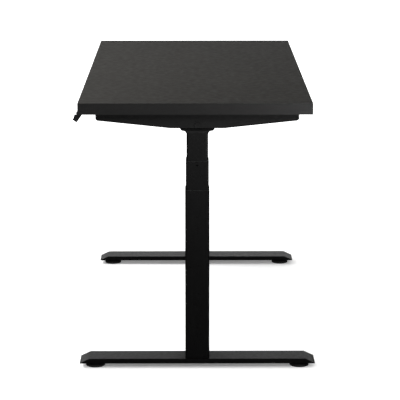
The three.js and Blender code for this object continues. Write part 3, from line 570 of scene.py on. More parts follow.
def glide(side, end):
    """A round rubber foot that steps in to a neck around its stud."""
    node = f"{side}_{end}_glide_pad"
    low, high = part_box(node)
    radius = (high.x - low.x) / 2
    top = high.z
    stud_hole = 4.3 * MM
    profile = [
        (radius - 3.2 * MM, 0),
        (radius - 1.2 * MM, 0.25 * MM),
        (radius - 0.3 * MM, 1.0 * MM),
        (radius, 2.0 * MM),
        (radius, 6.0 * MM),
        (radius - 0.3 * MM, 6.9 * MM),
        (radius - 1.2 * MM, 7.6 * MM),
        (radius - 5.5 * MM, 9.2 * MM),
        (radius - 9.5 * MM, 10.0 * MM),
        (13.5 * MM, 10.1 * MM),
        (12.6 * MM, 10.6 * MM),
        (12.2 * MM, top - 0.4 * MM),
        (11.6 * MM, top),
        (stud_hole, top),
        (stud_hole, top - 3 * MM),
    ]
    bm = moved(turned(profile, 96), at=((low.x + high.x) / 2, (low.y + high.y) / 2, low.z))
    make(f"{side}_{end}_glide_foot", bm, f"{side}_{end}_glide", "rubber", [node])


# ---- Columns ----

def square_ring(node, half, wall, low, high, rim=0.5 * MM):
    """An upright square tube about a leg's axis, with soft rims."""
    middle = centre_of(node)
    least_corner = 1 * MM
    profile = [
        (0, low + rim),
        (0, high - rim),
        (rim * 0.3, high - rim * 0.3),
        (rim, high),
        (wall - rim * 0.4, high),
        (wall, high - rim * 0.4),
        (wall, low),
        (rim, low),
        (rim * 0.3, low + rim * 0.3),
    ]
    rings = []
    for inset, z in profile:
        corner = max(TUBE_CORNER - inset, least_corner)
        outline = rounded_rect(half - inset, half - inset, corner, 8, (middle.x, middle.y))
        rings.append([(x, y, z) for x, y in outline])
    return skin(bmesh.new(), rings, closed=True)


def on_four_faces(node, profile):
    """A turned shape repeated on a tube's four faces. Heights in the profile are out of the face."""
    low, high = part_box(node)
    middle = (low + high) / 2
    half = (high.x - low.x) / 2
    shapes = []
    for quarter in range(4):
        facing = Matrix.Rotation(quarter * math.pi / 2, 4, "Z") @ Matrix.Rotation(math.pi / 2, 4, "Y")
        out = facing @ Vector((0, 0, half))
        at = (middle.x + out.x, middle.y + out.y, high.z - PEG_DROP)
        shapes.append(moved(turned(profile, 32), facing, at))
    return shapes


def tube(side, stage, body, pegged=False):
    """A column's tube. A pegged one has a hole in each face, closed by a peg of its guide that is
    coloured near black as painted shade of a recess.
    """
    node = f"{side}_{stage}_tube"
    low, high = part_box(node)
    bm = square_ring(node, (high.x - low.x) / 2, TUBE_WALL, low.z, high.z)
    if pegged:
        hole = [(PEG_RADIUS, -2 * TUBE_WALL), (PEG_RADIUS, TUBE_WALL)]
        bm = carved(bm, *on_four_faces(node, hole))
        dimple = PEG_RECESS + 0.4 * MM
        peg = [
            (PEG_RADIUS - GAP, -TUBE_WALL),
            (PEG_RADIUS - GAP, -PEG_RECESS - 0.1 * MM),
            (PEG_RADIUS - 2 * GAP, -PEG_RECESS),
            (1.4 * MM, -PEG_RECESS),
            (1.2 * MM, -dimple),
            (0.4 * MM, -dimple),
        ]
        pegs = joined(*on_four_faces(node, peg))
        # painted shade: the pegs take a near-black material that stands for the shade in their recesses
        make(f"{side}_{stage}_guide_pegs", pegs, body, "black_plastic", material=PAINTED_SHADE_BLACK)
    make(f"{side}_{stage}_column", bm, body, "tube_paint", [node])


def guide(side, stage, inner, body):
    """The bush in a tube's mouth: only its lip shows."""
    node = f"{side}_{stage}_guide"
    low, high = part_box(node)
    half = (high.x - low.x) / 2
    inner_low, inner_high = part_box(f"{side}_{inner}_tube")
    wall = half - (inner_high.x - inner_low.x) / 2 - RUNNING
    bm = square_ring(node, half, wall, high.z - GUIDE_LIP, high.z, 0.45 * MM)
    make(f"{side}_{stage}_guide_lip", bm, body, "black_plastic", [node])


def collar(side):
    """Cast flange that flares out from the upper tube, with a narrow joint between it and the arm. The
    joint's faces are coloured near black as painted shade of the gap under the arm.
    """
    node = f"{side}_collar"
    low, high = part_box(node)
    middle = (low + high) / 2
    half_x, half_y = (high.x - low.x) / 2, (high.y - low.y) / 2
    tube_low, tube_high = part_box(f"{side}_upper_tube")
    tube_half = (tube_high.x - tube_low.x) / 2
    neck = tube_half + COLLAR_NECK
    band = high.z - COLLAR_BAND
    flare_end = COLLAR_DRAFT + 0.8 * MM
    steps = 10
    outside = [(neck, neck, TUBE_CORNER + COLLAR_NECK, low.z)]
    for step in range(1, steps + 1):
        angle = step / steps * math.pi / 2
        share = 1 - math.cos(angle)
        outside.append((
            neck + (half_x - flare_end - neck) * share,
            neck + (half_y - flare_end - neck) * share,
            TUBE_CORNER + COLLAR_NECK + share * MM,
            low.z + (band - low.z) * math.sin(angle),
        ))
    for inset, corner, z in (
        (COLLAR_DRAFT + 0.2 * MM, COLLAR_CORNER - 1 * MM, band + 0.3 * MM),
        (COLLAR_DRAFT - 0.3 * MM, COLLAR_CORNER - 0.6 * MM, band + 1.1 * MM),
        (0.3 * MM, COLLAR_CORNER, high.z - COLLAR_JOINT - 1.2 * MM),
        (0.05 * MM, COLLAR_CORNER, high.z - COLLAR_JOINT - 0.7 * MM),
        (0.7 * MM, COLLAR_CORNER - 0.5 * MM, high.z - COLLAR_JOINT),
        (4.5 * MM, COLLAR_CORNER - 3 * MM, high.z - COLLAR_JOINT + 0.1 * MM),
        (5 * MM, COLLAR_CORNER - 3 * MM, high.z - COLLAR_JOINT + 0.6 * MM),
        (5 * MM, COLLAR_CORNER - 3 * MM, high.z),
    ):
        outside.append((half_x - inset, half_y - inset, corner, z))
    bore = tube_half + GAP
    inside = [(bore, bore, TUBE_CORNER, high.z), (bore, bore, TUBE_CORNER, low.z)]
    rings = []
    for x, y, corner, z in outside + inside:
        rings.append([(u, v, z) for u, v in rounded_rect(x, y, corner, 8, (middle.x, middle.y))])
    flange = make(f"{side}_flange", skin(bmesh.new(), rings, closed=True), "top_frame", "casting", [node])
    # painted shade: faces of the joint take a near-black material that stands for the shade in the gap
    # under the arm
    flange.data.materials.append(PAINTED_SHADE_BLACK)
    for face in flange.data.polygons:
        face.material_index = 1 if face.center.z > high.z - COLLAR_JOINT else 0
    bolt_y = half_y - COLLAR_DRAFT - 5 * MM
    for i, sign_y in enumerate((1, -1)):
        at = (middle.x, middle.y + sign_y * bolt_y, band - 0.2 * MM)
        fastener(f"{side}_flange_bolt_{i + 1}", at, DOWN, "top_frame", FLANGE_BOLT)


# ---- Arms ----

def arm_outline(inset):
    """Side view in Y and Z about the frame's middle: flat over the column, then rising to the ends."""
    end = (ARM_HIGH.y - ARM_LOW.y) / 2 - inset
    corner = ARM_CORNER - inset
    end_bottom = ARM_HIGH.z - ARM_END_DEPTH + inset
    steps = 8
    half = [(ARM_FLAT_HALF, ARM_LOW.z + inset)]
    for step in range(steps + 1):
        angle = (1.5 + 0.5 * step / steps) * math.pi
        y = end - corner + corner * math.cos(angle)
        half.append((y, end_bottom + corner + corner * math.sin(angle)))
    half.append((end, ARM_HIGH.z - inset))
    return mirrored(half)


def arch_rib():
    """A raised arch: a half-round bead along a path up, over and down."""
    base = ARM_LOW.z + 2.5 * MM
    springing = ARM_LOW.z + 10 * MM
    steps = 16
    path = [(ARCH_RADIUS, base)]
    for step in range(steps + 1):
        angle = math.pi * step / steps
        path.append((ARCH_RADIUS * math.cos(angle), springing + ARCH_RADIUS * math.sin(angle)))
    path.append((-ARCH_RADIUS, base))
    bead = mirrored([(1.9 * MM, -0.6), (1.7 * MM, 0.2), (1.2 * MM, 0.8), (0.5 * MM, 1.1)])
    rings = []
    for i, (y, z) in enumerate(path):
        before, after = path[max(i - 1, 0)], path[min(i + 1, len(path) - 1)]
        along = Vector((after[0] - before[0], after[1] - before[1])).normalized()
        across = Vector((-along.y, along.x))
        rings.append([(ARCH_PROUD * rise, y + across.x * out, z + across.y * out) for out, rise in bead])
    return skin(bmesh.new(), rings)


def side_arm(side, sign):
    """A pressed channel that holds the gearbox, open at the top and with a door for the motor."""
    half = FOOT_HALF_WIDTH
    length = (ARM_HIGH.y - ARM_LOW.y) / 2
    under = ARM_LOW.z - SHEET
    shell = prism(arm_outline(0), "X", -half, half, ARM_FOLD_RADIUS)
    mouth = rounded_rect(half - ARM_LIP, length - ARM_LIP, 6 * MM)
    door = rounded_rect(*MOTOR_DOOR_HALF, 8 * MM, 6, (0, centre_of("right_motor").z))
    cutters = [
        prism(arm_outline(SHEET), "X", SHEET - half, half - SHEET),
        prism(mouth, "Z", ARM_HIGH.z - 10 * MM, ARM_HIGH.z + ARM_LIP),
        prism(door, "X", -half - SHEET, -half + 2 * SHEET),
        prism(circle(SHAFT_HOLE_RADIUS, 40), "Z", under, ARM_LOW.z + 2 * SHEET),
    ]
    for x in (ARM_SCREW_X, -ARM_SCREW_X):
        for sign_y in (1, -1):
            for y in ARM_SCREW_Y:
                access = circle(ACCESS_RADIUS, 24, (x, sign_y * y))
                cutters.append(prism(access, "Z", under, ARM_HIGH.z - 15 * MM))
    bm = joined(carved(shell, *cutters), moved(arch_rib(), at=(half, 0, 0)))
    turn = Matrix.Rotation(0 if sign > 0 else math.pi, 4, "Z")
    bm = moved(bm, turn, (sign * LEG_X, FRAME_Y, 0))
    make(f"{side}_arm_channel", bm, "top_frame", "frame_paint", [f"{side}_side_arm"])
    inner_y, outer_y = ARM_SCREW_Y
    spots = [(x, y) for x in (ARM_SCREW_X, -ARM_SCREW_X) for y in (-outer_y, -inner_y, inner_y, outer_y)]
    for i, (x, y) in enumerate(spots):
        at = (sign * LEG_X + x, FRAME_Y + y, ARM_HIGH.z - SHEET)
        fastener(f"{side}_arm_screw_{i + 1}", at, DOWN, "top_frame", WOOD_SCREW, cross=True)


def motor(side, sign):
    """A motor's can with two grooves round it, and an end cap held by four screws."""
    node = f"{side}_motor"
    low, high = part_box(node)
    middle = (low + high) / 2
    radius = (high.z - low.z) / 2
    length = high.x - low.x
    groove = radius - 0.7 * MM
    cap = length - 5 * MM
    profile = [
        (radius - 3 * MM, 0),
        (radius - 3 * MM, 8.0 * MM),
        (radius - 0.8 * MM, 8.2 * MM),
        (radius, 9.4 * MM),
        (radius, 26 * MM),
        (groove, 26.5 * MM),
        (groove, 28 * MM),
        (radius, 28.5 * MM),
        (radius, length - 14 * MM),
        (groove, length - 13.5 * MM),
        (groove, length - 12.5 * MM),
        (radius - 0.2 * MM, length - 12 * MM),
        (radius - 0.4 * MM, length - 7 * MM),
        (radius - 2.2 * MM, length - 5.2 * MM),
        (radius - 5 * MM, cap),
        (radius - 6 * MM, length - 0.6 * MM),
        (radius - 6.8 * MM, length),
    ]
    towards_middle = Matrix.Rotation(-sign * math.pi / 2, 4, "Y")
    start = high.x if sign > 0 else low.x
    bm = moved(turned(profile, 64), towards_middle, (start, middle.y, middle.z))
    make(f"{side}_motor_can", bm, "top_frame", "black_plastic", [node])
    screw_reach = radius - 3.6 * MM
    for i in range(4):
        angle = (i + 0.5) * math.pi / 2
        y = middle.y + screw_reach * math.cos(angle)
        z = middle.z + screw_reach * math.sin(angle)
        at = (start - sign * cap, y, z)
        fastener(f"{side}_motor_screw_{i + 1}", at, (-sign, 0, 0), "top_frame", MOTOR_SCREW)


# ---- Rails ----

def rail(end, facing, lead_hole=None):
    """A channel with its open side towards the desk's middle. facing is 1 if that is +Y."""
    low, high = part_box(f"{end}_rail")
    middle = (low + high) / 2
    half, sheet = RAIL_HALF, RAIL_SHEET
    bottom, top = low.z + 2 * MM, high.z
    section = [
        (-half, bottom),
        (half, bottom),
        (half, bottom + sheet),
        (sheet - half, bottom + sheet),
        (sheet - half, top - sheet),
        (half, top - sheet),
        (half, top),
        (-half, top),
    ]
    section = [(facing * y, z) for y, z in section]
    if facing < 0:
        section.reverse()
    into_plate = 1 * MM
    bm = prism(section, "X", low.x + into_plate, high.x - into_plate, 0.7 * MM)
    if lead_hole:
        bm = carved(bm, lead_hole)
    width = (high.y - low.y) / 2
    plates = [
        block((x, -width, low.z), (x + RAIL_PLATE, width, top - 2 * MM), 0.5 * MM)
        for x in (low.x, high.x - RAIL_PLATE)
    ]
    bm = moved(joined(bm, *plates), at=(0, middle.y, 0))
    make(f"{end}_rail_channel", bm, "top_frame", "frame_paint", [f"{end}_rail"])
    bolt_y = width - 6 * MM
    for side, sign in SIDES:
        for i, sign_y in enumerate((-1, 1)):
            at = (sign * (high.x - RAIL_PLATE), middle.y + sign_y * bolt_y, middle.z)
            fastener(f"{side}_{end}_rail_bolt_{i + 1}", at, (-sign, 0, 0), "top_frame", RAIL_BOLT)


def rails():
    """Both rails. The front one has a hole that the handset's lead passes through."""
    half = LEAD_HOLE_HALF
    z = centre_of("front_rail").z + LEAD_HOLE_RISE
    hole = block((LEAD_HOLE_X - half, -30 * MM, z - half), (LEAD_HOLE_X + half, 0, z + half))
    rail("front", 1, hole)
    rail("rear", -1)


# ---- Control box ----

def vents(low, high):
    """Slots through both long walls of the cover."""
    half_slot = 1.1 * MM
    front, back = low.y - 5 * MM, high.y + 5 * MM
    bottom, top = low.z + 9 * MM, low.z + 24 * MM
    places = [(i - (VENTS - 1) / 2) * VENT_PITCH for i in range(VENTS)]
    return [block((x - half_slot, front, bottom), (x + half_slot, back, top)) for x in places]


def box_cover():
    """A tray with vents, open at the top, and with a window for the mains inlet in its left end."""
    low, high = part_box("control_box_cover")
    middle = (low + high) / 2
    half = (high - low) / 2
    centre = (middle.x, middle.y)
    wall = BOX_WALL
    shell = prism(rounded_rect(half.x, half.y, BOX_CORNER, 6, centre), "Z", low.z, high.z, 1.8 * MM, 4)
    hollow = rounded_rect(half.x - wall, half.y - wall, 4 * MM, 6, centre)
    inside = prism(hollow, "Z", low.z + wall, high.z + wall)
    inlet = centre_of("mains_inlet")
    inlet_half_y, inlet_low_z, inlet_high_z = 15 * MM, 774 * MM, 796 * MM
    window = block(
        (low.x - wall, inlet.y - inlet_half_y - GAP, inlet_low_z - GAP),
        (low.x + 2 * wall, inlet.y + inlet_half_y + GAP, inlet_high_z + GAP),
    )
    bm = carved(shell, inside, window, *vents(low, high))
    make("control_box_shell", bm, "top_frame", "black_plastic", ["control_box_cover"])
    return low, middle, half


def control_box():
    cover_low, middle, half = box_cover()
    centre = (middle.x, middle.y)
    low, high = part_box("control_box_plate")
    back = prism(rounded_rect(half.x, half.y, BOX_CORNER, 6, centre), "Z", low.z, high.z, 0.5 * MM)
    ear_inset = 0.05 * MM
    ear_outline = rounded_rect((high.x - low.x) / 2, 30 * MM, 10 * MM, 6, centre)
    ears = prism(ear_outline, "Z", low.z + ear_inset, high.z - ear_inset, 0.5 * MM)
    make("control_box_back", joined(back, ears), "top_frame", "black_plastic", ["control_box_plate"])
    for side, sign in SIDES:
        at = (sign * (high.x - 9 * MM), middle.y, low.z)
        fastener(f"{side}_box_screw", at, DOWN, "top_frame", WOOD_SCREW, cross=True)
    screw_x, screw_y = half.x - 10 * MM, half.y - 10 * MM
    for i, (dx, dy) in enumerate(CORNERS):
        at = (dx * screw_x, middle.y + dy * screw_y, cover_low.z)
        fastener(f"box_cover_screw_{i + 1}", at, DOWN, "top_frame", COVER_SCREW, cross=True)


# ---- Handset ----

HOUSING_LOW, HOUSING_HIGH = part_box("handset_housing")
HANDSET_X = (HOUSING_LOW.x + HOUSING_HIGH.x) / 2


def handset_outline(inset):
    """Side view in Y and Z: a sloping slab under a level tongue."""
    along_y, along_z = math.cos(HANDSET_TILT), math.sin(HANDSET_TILT)
    top = HOUSING_HIGH.z
    end_y = HOUSING_LOW.y + inset * (along_z + along_y)
    end_z = top - HANDSET_FACE * along_z + inset * (along_z - along_y)
    thick = HANDSET_THICKNESS - 2 * inset
    back_y, back_z = end_y + thick * along_z, end_z - thick * along_y
    tongue_z = top - HANDSET_TONGUE + inset
    return [
        (end_y, end_z),
        (back_y, back_z),
        (back_y + (tongue_z - back_z) * along_y / along_z, tongue_z),
        (HOUSING_HIGH.y - inset, tongue_z),
        (HOUSING_HIGH.y - inset, top - inset),
        (end_y + (top - inset - end_z) * along_y / along_z, top - inset),
    ]


def face_frame():
    """Places pieces on the sloping face: x along the desk, y up the slope, z out of the face."""
    half = HANDSET_FACE / 2
    y = HOUSING_LOW.y + half * math.cos(HANDSET_TILT)
    z = HOUSING_HIGH.z - HANDSET_FACE * math.sin(HANDSET_TILT) + half * math.sin(HANDSET_TILT)
    return Matrix.Translation((HANDSET_X, y, z)) @ Matrix.Rotation(HANDSET_TILT, 4, "X")


ON_FACE = face_frame()
FACE_X, FACE_Y = 34 * MM, 13.2 * MM
THROUGH_FACE = (-FASCIA_THICKNESS - 1 * MM, 1 * MM)
WINDOW_X = -21.5 * MM
WINDOW_HALF = (10 * MM, 6 * MM)
DIGIT_PITCH = 5.6 * MM
BUTTON_RADIUS = 4 * MM
BUTTON_PROUD = 1.2 * MM
MARK_THICKNESS = 0.08 * MM
BUTTON_COLUMNS = (-3 * MM, 10 * MM, 23 * MM)
BUTTON_ROWS = (6.5 * MM, -6.5 * MM)
BUTTONS = (("up", "memory_1", "memory_2"), ("down", "memory_3", "save"))


def handset_housing():
    shell = prism(handset_outline(0), "X", HOUSING_LOW.x, HOUSING_HIGH.x, 1.6 * MM, 4)
    wall = HANDSET_WALL
    hollow = prism(handset_outline(wall), "X", HOUSING_LOW.x + wall, HOUSING_HIGH.x - wall)
    opening = prism(rounded_rect(FACE_X, FACE_Y, 2 * MM), "Z", *THROUGH_FACE)
    bm = carved(shell, hollow, moved(opening, ON_FACE))
    make("handset_case", bm, "top_frame", "black_plastic", ["handset_housing"])
    for side, sign in SIDES:
        at = (HANDSET_X + sign * 22 * MM, HOUSING_HIGH.y - 14 * MM, HOUSING_HIGH.z - HANDSET_TONGUE)
        fastener(f"{side}_handset_screw", at, DOWN, "top_frame", HANDSET_SCREW, cross=True)


def handset_fascia():
    panel = prism(rounded_rect(FACE_X - GAP, FACE_Y - GAP, 1.8 * MM), "Z", -FASCIA_THICKNESS, 0, 0.3 * MM)
    opening = rounded_rect(WINDOW_HALF[0] + GAP, WINDOW_HALF[1] + GAP, 1 * MM, 6, (WINDOW_X, 0))
    cutters = [prism(opening, "Z", *THROUGH_FACE)]
    for y in BUTTON_ROWS:
        for x in BUTTON_COLUMNS:
            cutters.append(prism(circle(BUTTON_RADIUS + GAP, 40, (x, y)), "Z", *THROUGH_FACE))
    bm = moved(carved(panel, *cutters), ON_FACE)
    make("handset_panel", bm, "top_frame", "gloss_black", ["handset_fascia"])


def segment_bars(x):
    """The seven bars of one unlit digit."""
    half, rise, bar = 1.9 * MM, 2.0 * MM, 0.32 * MM
    corner_gap = bar * 1.3
    bars = []
    for level in (-1, 0, 1):
        y = level * 2 * rise
        bars.append(((x - half + bar, y - bar), (x + half - bar, y + bar)))
    for dx in (-half, half):
        for y in (-rise, rise):
            bars.append(((x + dx - bar, y - rise + corner_gap), (x + dx + bar, y + rise - corner_gap)))
    back, front = -0.5 * MM, -0.12 * MM
    return [block((*low, back), (*high, front)) for low, high in bars]


def display():
    outline = rounded_rect(*WINDOW_HALF, 0.9 * MM, 6, (WINDOW_X, 0))
    pane = prism(outline, "Z", -FASCIA_THICKNESS, -0.2 * MM, 0.15 * MM)
    make("display_pane", moved(pane, ON_FACE), "top_frame", "gloss_black", ["display_window"])
    bars = [bar for i in (-1, 0, 1) for bar in segment_bars(WINDOW_X + i * DIGIT_PITCH)]
    make("display_segments", moved(joined(*bars), ON_FACE), "top_frame", "gloss_black", material=UNLIT)


def arrow(sign):
    """A triangle that points up or down the slope."""
    half_width = 1.7 * MM
    rise = 1.5 * MM * sign
    points = [(-half_width, -rise * 0.8), (half_width, -rise * 0.8), (0, rise)]
    return [prism(points if sign > 0 else points[::-1], "Z", 0, MARK_THICKNESS)]


def dots(count):
    """A row of dots that tells the memory buttons apart."""
    radius, pitch = 0.5 * MM, 1.7 * MM
    return [
        prism(circle(radius, 16, ((i - (count - 1) / 2) * pitch, 0)), "Z", 0, MARK_THICKNESS)
        for i in range(count)
    ]


def save_mark():
    """A small open square."""
    outer_half, inner_half, past = 1.5 * MM, 1.1 * MM, 0.5 * MM
    outer = prism(rounded_rect(outer_half, outer_half, 0.4 * MM), "Z", 0, MARK_THICKNESS)
    inner = prism(rounded_rect(inner_half, inner_half, 0.2 * MM), "Z", -past, past)
    return [carved(outer, inner)]


MARKS = {
    "up": lambda: arrow(1),
    "down": lambda: arrow(-1),
    "memory_1": lambda: dots(1),
    "memory_2": lambda: dots(2),
    "memory_3": lambda: dots(3),
    "save": save_mark,
}


def button(label, x, y):
    """A dished round key with a flange and a stem behind the fascia."""
    behind = -FASCIA_THICKNESS - GAP
    flange = BUTTON_RADIUS + 1.2 * MM
    stem = 1.5 * MM
    profile = [
        (stem, behind - 3.9 * MM),
        (stem, behind - 1.3 * MM),
        (flange, behind - 1.3 * MM),
        (flange, behind),
        (BUTTON_RADIUS, behind),
        (BUTTON_RADIUS, BUTTON_PROUD - 0.5 * MM),
        (BUTTON_RADIUS - 0.15 * MM, BUTTON_PROUD - 0.15 * MM),
        (BUTTON_RADIUS - 0.5 * MM, BUTTON_PROUD),
        (BUTTON_RADIUS - 1.2 * MM, BUTTON_PROUD - 0.1 * MM),
        (BUTTON_RADIUS - 2.4 * MM, BUTTON_PROUD - 0.22 * MM),
        (0.3 * MM, BUTTON_PROUD - 0.25 * MM),
    ]
    place = ON_FACE @ Matrix.Translation((x, y, 0))
    body = f"{label}_button"
    make(f"key_{label}", moved(turned(profile), place), body, "button_grey", [f"button_{label}"])
    in_dish = place @ Matrix.Translation((0, 0, BUTTON_PROUD - 0.27 * MM))
    mark = moved(joined(*MARKS[label]()), in_dish)
    make(f"mark_{label}", mark, body, "button_grey", material=PRINT)


def handset():
    handset_housing()
    handset_fascia()
    display()
    for y, row in zip(BUTTON_ROWS, BUTTONS):
        for x, label in zip(BUTTON_COLUMNS, row):
            button(label, x, y)


# ---- Leads and their clips ----

def smooth_path(points, steps):
    """Points along a curve through the given ones, an even number to each stretch."""
    points = [Vector(point) for point in points]
    ends = [2 * points[0] - points[1], *points, 2 * points[-1] - points[-2]]
    path = []
    for a, b, c, d in zip(ends, ends[1:], ends[2:], ends[3:]):
        reach = (c - b).length
        leave = (c - a).normalized() * reach
        arrive = (d - b).normalized() * reach
        for step in range(steps):
            t = step / steps
            path.append(
                b * (2 * t**3 - 3 * t**2 + 1) + leave * (t**3 - 2 * t**2 + t)
                + c * (3 * t**2 - 2 * t**3) + arrive * (t**3 - t**2)
            )
    return [*path, points[-1]]


def swept(path, radius):
    """A round tube along a path."""
    section = circle(radius, 20)
    rings = []
    side = Vector((0, 0, 1))
    for i, point in enumerate(path):
        along = (path[min(i + 1, len(path) - 1)] - path[max(i - 1, 0)]).normalized()
        side = (side - along * side.dot(along)).normalized()
        other = along.cross(side)
        rings.append([point + side * x + other * y for x, y in section])
    return skin(bmesh.new(), rings)


def clip(name, at, along, radius):
    """A saddle clip over a lead, with its screw beside it."""
    thick, half_width, foot_length, clearance = 1.2 * MM, 4 * MM, 9 * MM, 0.3 * MM
    drop = UNDERSIDE - GAP - at[2]
    inner = radius + clearance
    outer = inner + thick
    steps = 12
    arc = [math.pi + math.pi * i / steps for i in range(steps + 1)]
    outline = [(-outer - foot_length, drop), (-outer - foot_length, drop - thick), (-outer, drop - thick)]
    outline += [(outer * math.cos(a), outer * math.sin(a)) for a in arc]
    outline += [(outer, drop), (inner, drop)]
    outline += [(inner * math.cos(a), inner * math.sin(a)) for a in reversed(arc)]
    outline += [(-inner, drop)]
    bm = prism(outline, "Y", -half_width, half_width, 0.2 * MM, 2)
    turn = Matrix.Rotation(math.atan2(along[1], along[0]) - math.pi / 2, 4, "Z")
    make(name, moved(bm, turn, at), "top_frame", "black_plastic")
    beside = turn @ Vector((-outer - 5 * MM, 0, drop - thick))
    fastener(f"{name}_screw", Vector(at) + beside, DOWN, "top_frame", CLIP_SCREW, cross=True)


def motor_lead(side, sign):
    """From the motor's end cap up to the underside, then to the control box."""
    low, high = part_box(f"{side}_motor")
    start = min(abs(low.x), abs(high.x)) - GAP
    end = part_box("control_box_cover")[1].x + GAP
    motor_z = (low.z + high.z) / 2
    port_y = FRAME_Y + PORT_SPREAD
    route = [
        (start, FRAME_Y, motor_z),
        (start - 14 * MM, FRAME_Y, motor_z),
        (start - 34 * MM, FRAME_Y + 3 * MM, motor_z + 12 * MM),
        (start - 60 * MM, FRAME_Y + 10 * MM, UNDERSIDE - 6 * MM),
        (end + 70 * MM, port_y, UNDERSIDE - 6 * MM),
        (end + 38 * MM, port_y, UNDERSIDE - 9 * MM),
        (end + 14 * MM, port_y, PORT_Z),
        (end, port_y, PORT_Z),
    ]
    steps = 14
    path = smooth_path([(sign * x, y, z) for x, y, z in route], steps)
    cable = swept(path, MOTOR_CABLE_RADIUS)
    make(f"{side}_motor_cable", cable, "top_frame", "rubber", [f"{side}_motor_lead"])
    long_stretch = 3  # the one under the desktop
    for i, share in enumerate((0.2, 0.8)):
        k = long_stretch * steps + int(share * steps)
        clip(f"{side}_lead_clip_{i + 1}", tuple(path[k]), path[k + 1] - path[k], MOTOR_CABLE_RADIUS)


def handset_lead():
    """From the handset along the underside, through the front rail, to the control box."""
    rail_middle = centre_of("front_rail")
    web_y = rail_middle.y - RAIL_HALF
    rail_z = rail_middle.z + LEAD_HOLE_RISE
    tongue_z = HOUSING_HIGH.z - HANDSET_TONGUE / 2
    gland_x = HOUSING_LOW.x - GAP
    port_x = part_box("control_box_cover")[1].x + GAP
    port_y = FRAME_Y - PORT_SPREAD
    route = [
        (gland_x, GLAND_Y, tongue_z),
        (gland_x - 14 * MM, GLAND_Y, tongue_z),
        (gland_x - 45 * MM, GLAND_Y + 14 * MM, tongue_z + 1 * MM),
        (gland_x - 150 * MM, GLAND_Y + 80 * MM, tongue_z + 1 * MM),
        (LEAD_HOLE_X + 30 * MM, web_y - 45 * MM, tongue_z),
        (LEAD_HOLE_X + 8 * MM, web_y - 16 * MM, rail_z + 2 * MM),
        (LEAD_HOLE_X, web_y + 1 * MM, rail_z),
        (LEAD_HOLE_X - 6 * MM, web_y + 24 * MM, rail_z),
        (LEAD_HOLE_X - 45 * MM, web_y + 60 * MM, PORT_Z + 6 * MM),
        (port_x + 50 * MM, port_y - 8 * MM, PORT_Z + 6 * MM),
        (port_x + 16 * MM, port_y, PORT_Z),
        (port_x, port_y, PORT_Z),
    ]
    steps = 12
    path = smooth_path(route, steps)
    make("handset_cable", swept(path, HANDSET_CABLE_RADIUS), "top_frame", "rubber", ["handset_lead"])
    for i, k in enumerate((2 * steps + 6, 3 * steps + 10)):
        clip(f"handset_clip_{i + 1}", tuple(path[k]), path[k + 1] - path[k], HANDSET_CABLE_RADIUS)


# ---- Insides that the CAD already shapes well ----

def dress_carried_nodes():
    """Gives each CAD node that still shows its material."""
    slots = {part["node"]: part["material_slot"] for part in frame["record"]["subparts"]}
    for name, node in frame["nodes"].items():
        node.data.materials.clear()
        node.data.materials.append(MATERIAL[slots[name]])


# ---- Studio ----

CAMERA_AT = (5.7748, -0.009, 1.7039)
CAMERA_DOWN = math.radians(12.878)
CAMERA_TURN = math.radians(90 - 0.259)
CAMERA_LENS = 156.17  # millimetres, on a sensor 36 wide
FLOOR_REACH = 60
FLOOR_GLOW = (0.12, 1)  # emission near the desk and away from it
GLOW_REACH = (0.6, 2.3)  # distances from the desk's middle between which it rises
WORLD_LIGHT = 0.85
WORLD_SEEN = 1.2  # the same sky as the camera sees it


def camera():
    data = bpy.data.cameras.new("camera")
    data.lens = CAMERA_LENS
    data.sensor_width = 36
    data.clip_end = 100
    eye = bpy.data.objects.new("camera", data)
    eye.location = CAMERA_AT
    eye.rotation_euler = (math.pi / 2 - CAMERA_DOWN, 0, CAMERA_TURN)
    bpy.context.collection.objects.link(eye)
    bpy.context.scene.camera = eye


def floor():
    """White paper that glows as painted light: little close to the desk, so that contact shadows stay,
    and more further out, which washes out the desk's cast shadows and keeps the far floor evenly white.
    """
    mesh = bpy.data.meshes.new("floor")
    far = FLOOR_REACH
    mesh.from_pydata([(-far, -far, 0), (far, -far, 0), (far, far, 0), (-far, far, 0)], [], [(0, 1, 2, 3)])
    plane = bpy.data.objects.new("floor", mesh)
    bpy.context.collection.objects.link(plane)
    paper = Shader("floor_paper", (0.9, 0.9, 0.9), 0.95, Specular_IOR_Level=0.0)
    paper.shades(paper.noise(3, 2), (0.89, 0.89, 0.89), (0.9, 0.9, 0.9))
    away = paper.node("ShaderNodeVectorMath", operation="LENGTH")
    paper.link(paper.coordinates, away.inputs[0])
    glow = paper.spread(away.outputs["Value"], *FLOOR_GLOW, *GLOW_REACH)
    paper.link(glow, paper.bsdf.inputs["Emission Strength"])
    set_inputs(paper.bsdf, Emission_Color=(1, 1, 1, 1))
    mesh.materials.append(paper.material)
    plane.visible_glossy = False


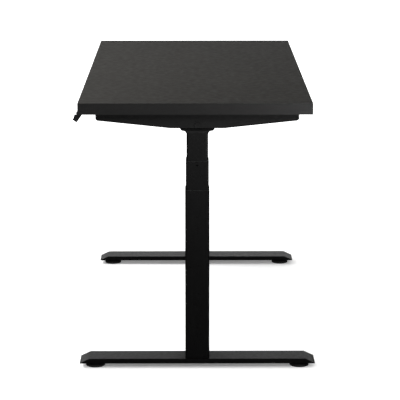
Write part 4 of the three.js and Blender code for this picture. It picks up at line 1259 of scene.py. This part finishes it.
def softbox(name, at, target, size, power, spread=180):
    """A rectangular lamp, in metres and watts, that shines within spread degrees."""
    data = bpy.data.lights.new(name, "AREA")
    data.shape = "RECTANGLE"
    data.size, data.size_y = size
    data.energy = power
    data.spread = math.radians(spread)
    lamp = bpy.data.objects.new(name, data)
    lamp.location = at
    lamp.rotation_euler = (Vector(target) - Vector(at)).to_track_quat("-Z", "Y").to_euler()
    bpy.context.collection.objects.link(lamp)


def background():
    """An even white sky that mirrors don't show."""
    world = bpy.data.worlds.new("studio")
    world.use_nodes = True
    tree = world.node_tree
    sky = tree.nodes["Background"]
    set_inputs(sky, Color=(1, 1, 1, 1))
    path = tree.nodes.new("ShaderNodeLightPath")
    strength = tree.nodes.new("ShaderNodeMapRange")
    set_inputs(strength, To_Min=WORLD_LIGHT, To_Max=WORLD_SEEN)
    tree.links.new(path.outputs["Is Camera Ray"], strength.inputs["Value"])
    tree.links.new(strength.outputs["Result"], sky.inputs["Strength"])
    world.cycles_visibility.glossy = False
    bpy.context.scene.world = world


def lights():
    softbox("key", (0, -1.0, 1.65), (0, -0.3, 0.84), (2.0, 1.0), 25, 130)
    softbox("near_fill", (4.6, 0.0, 3.2), (0.6, 0, 0.4), (3.0, 1.6), 130)
    softbox("back_panel", (-6.0, -0.2, 1.4), (0, 0, 0.4), (5.0, 1.2), 39)
    softbox("column_fill", (3.6, 0.0, 0.35), (0.6, 0, 0.6), (1.6, 0.5), 5.0)
    softbox("edge_fill", (2.6, 1.0, 0.55), (0.7, 0.35, 0.82), (0.5, 0.5), 2.1, 60)
    softbox("handset_glint", (-3.3, -1.0, 0.3), (0.6, -0.36, 0.79), (0.8, 0.8), 0.25, 20)


# ---- The whole desk ----

dress_carried_nodes()
desktop()
for side, sign in SIDES:
    foot(side, sign)
    for end in ("front", "rear"):
        glide(side, end)
    tube(side, "outer", "base")
    tube(side, "middle", f"{side}_middle_stage", pegged=True)
    tube(side, "upper", "top_frame")
    guide(side, "outer", "middle", "base")
    guide(side, "middle", "upper", f"{side}_middle_stage")
    collar(side)
    side_arm(side, sign)
    motor(side, sign)
    motor_lead(side, sign)
rails()
control_box()
handset()
handset_lead()
floor()
background()
lights()
camera()

bpy.context.scene.view_settings.view_transform = "Standard"
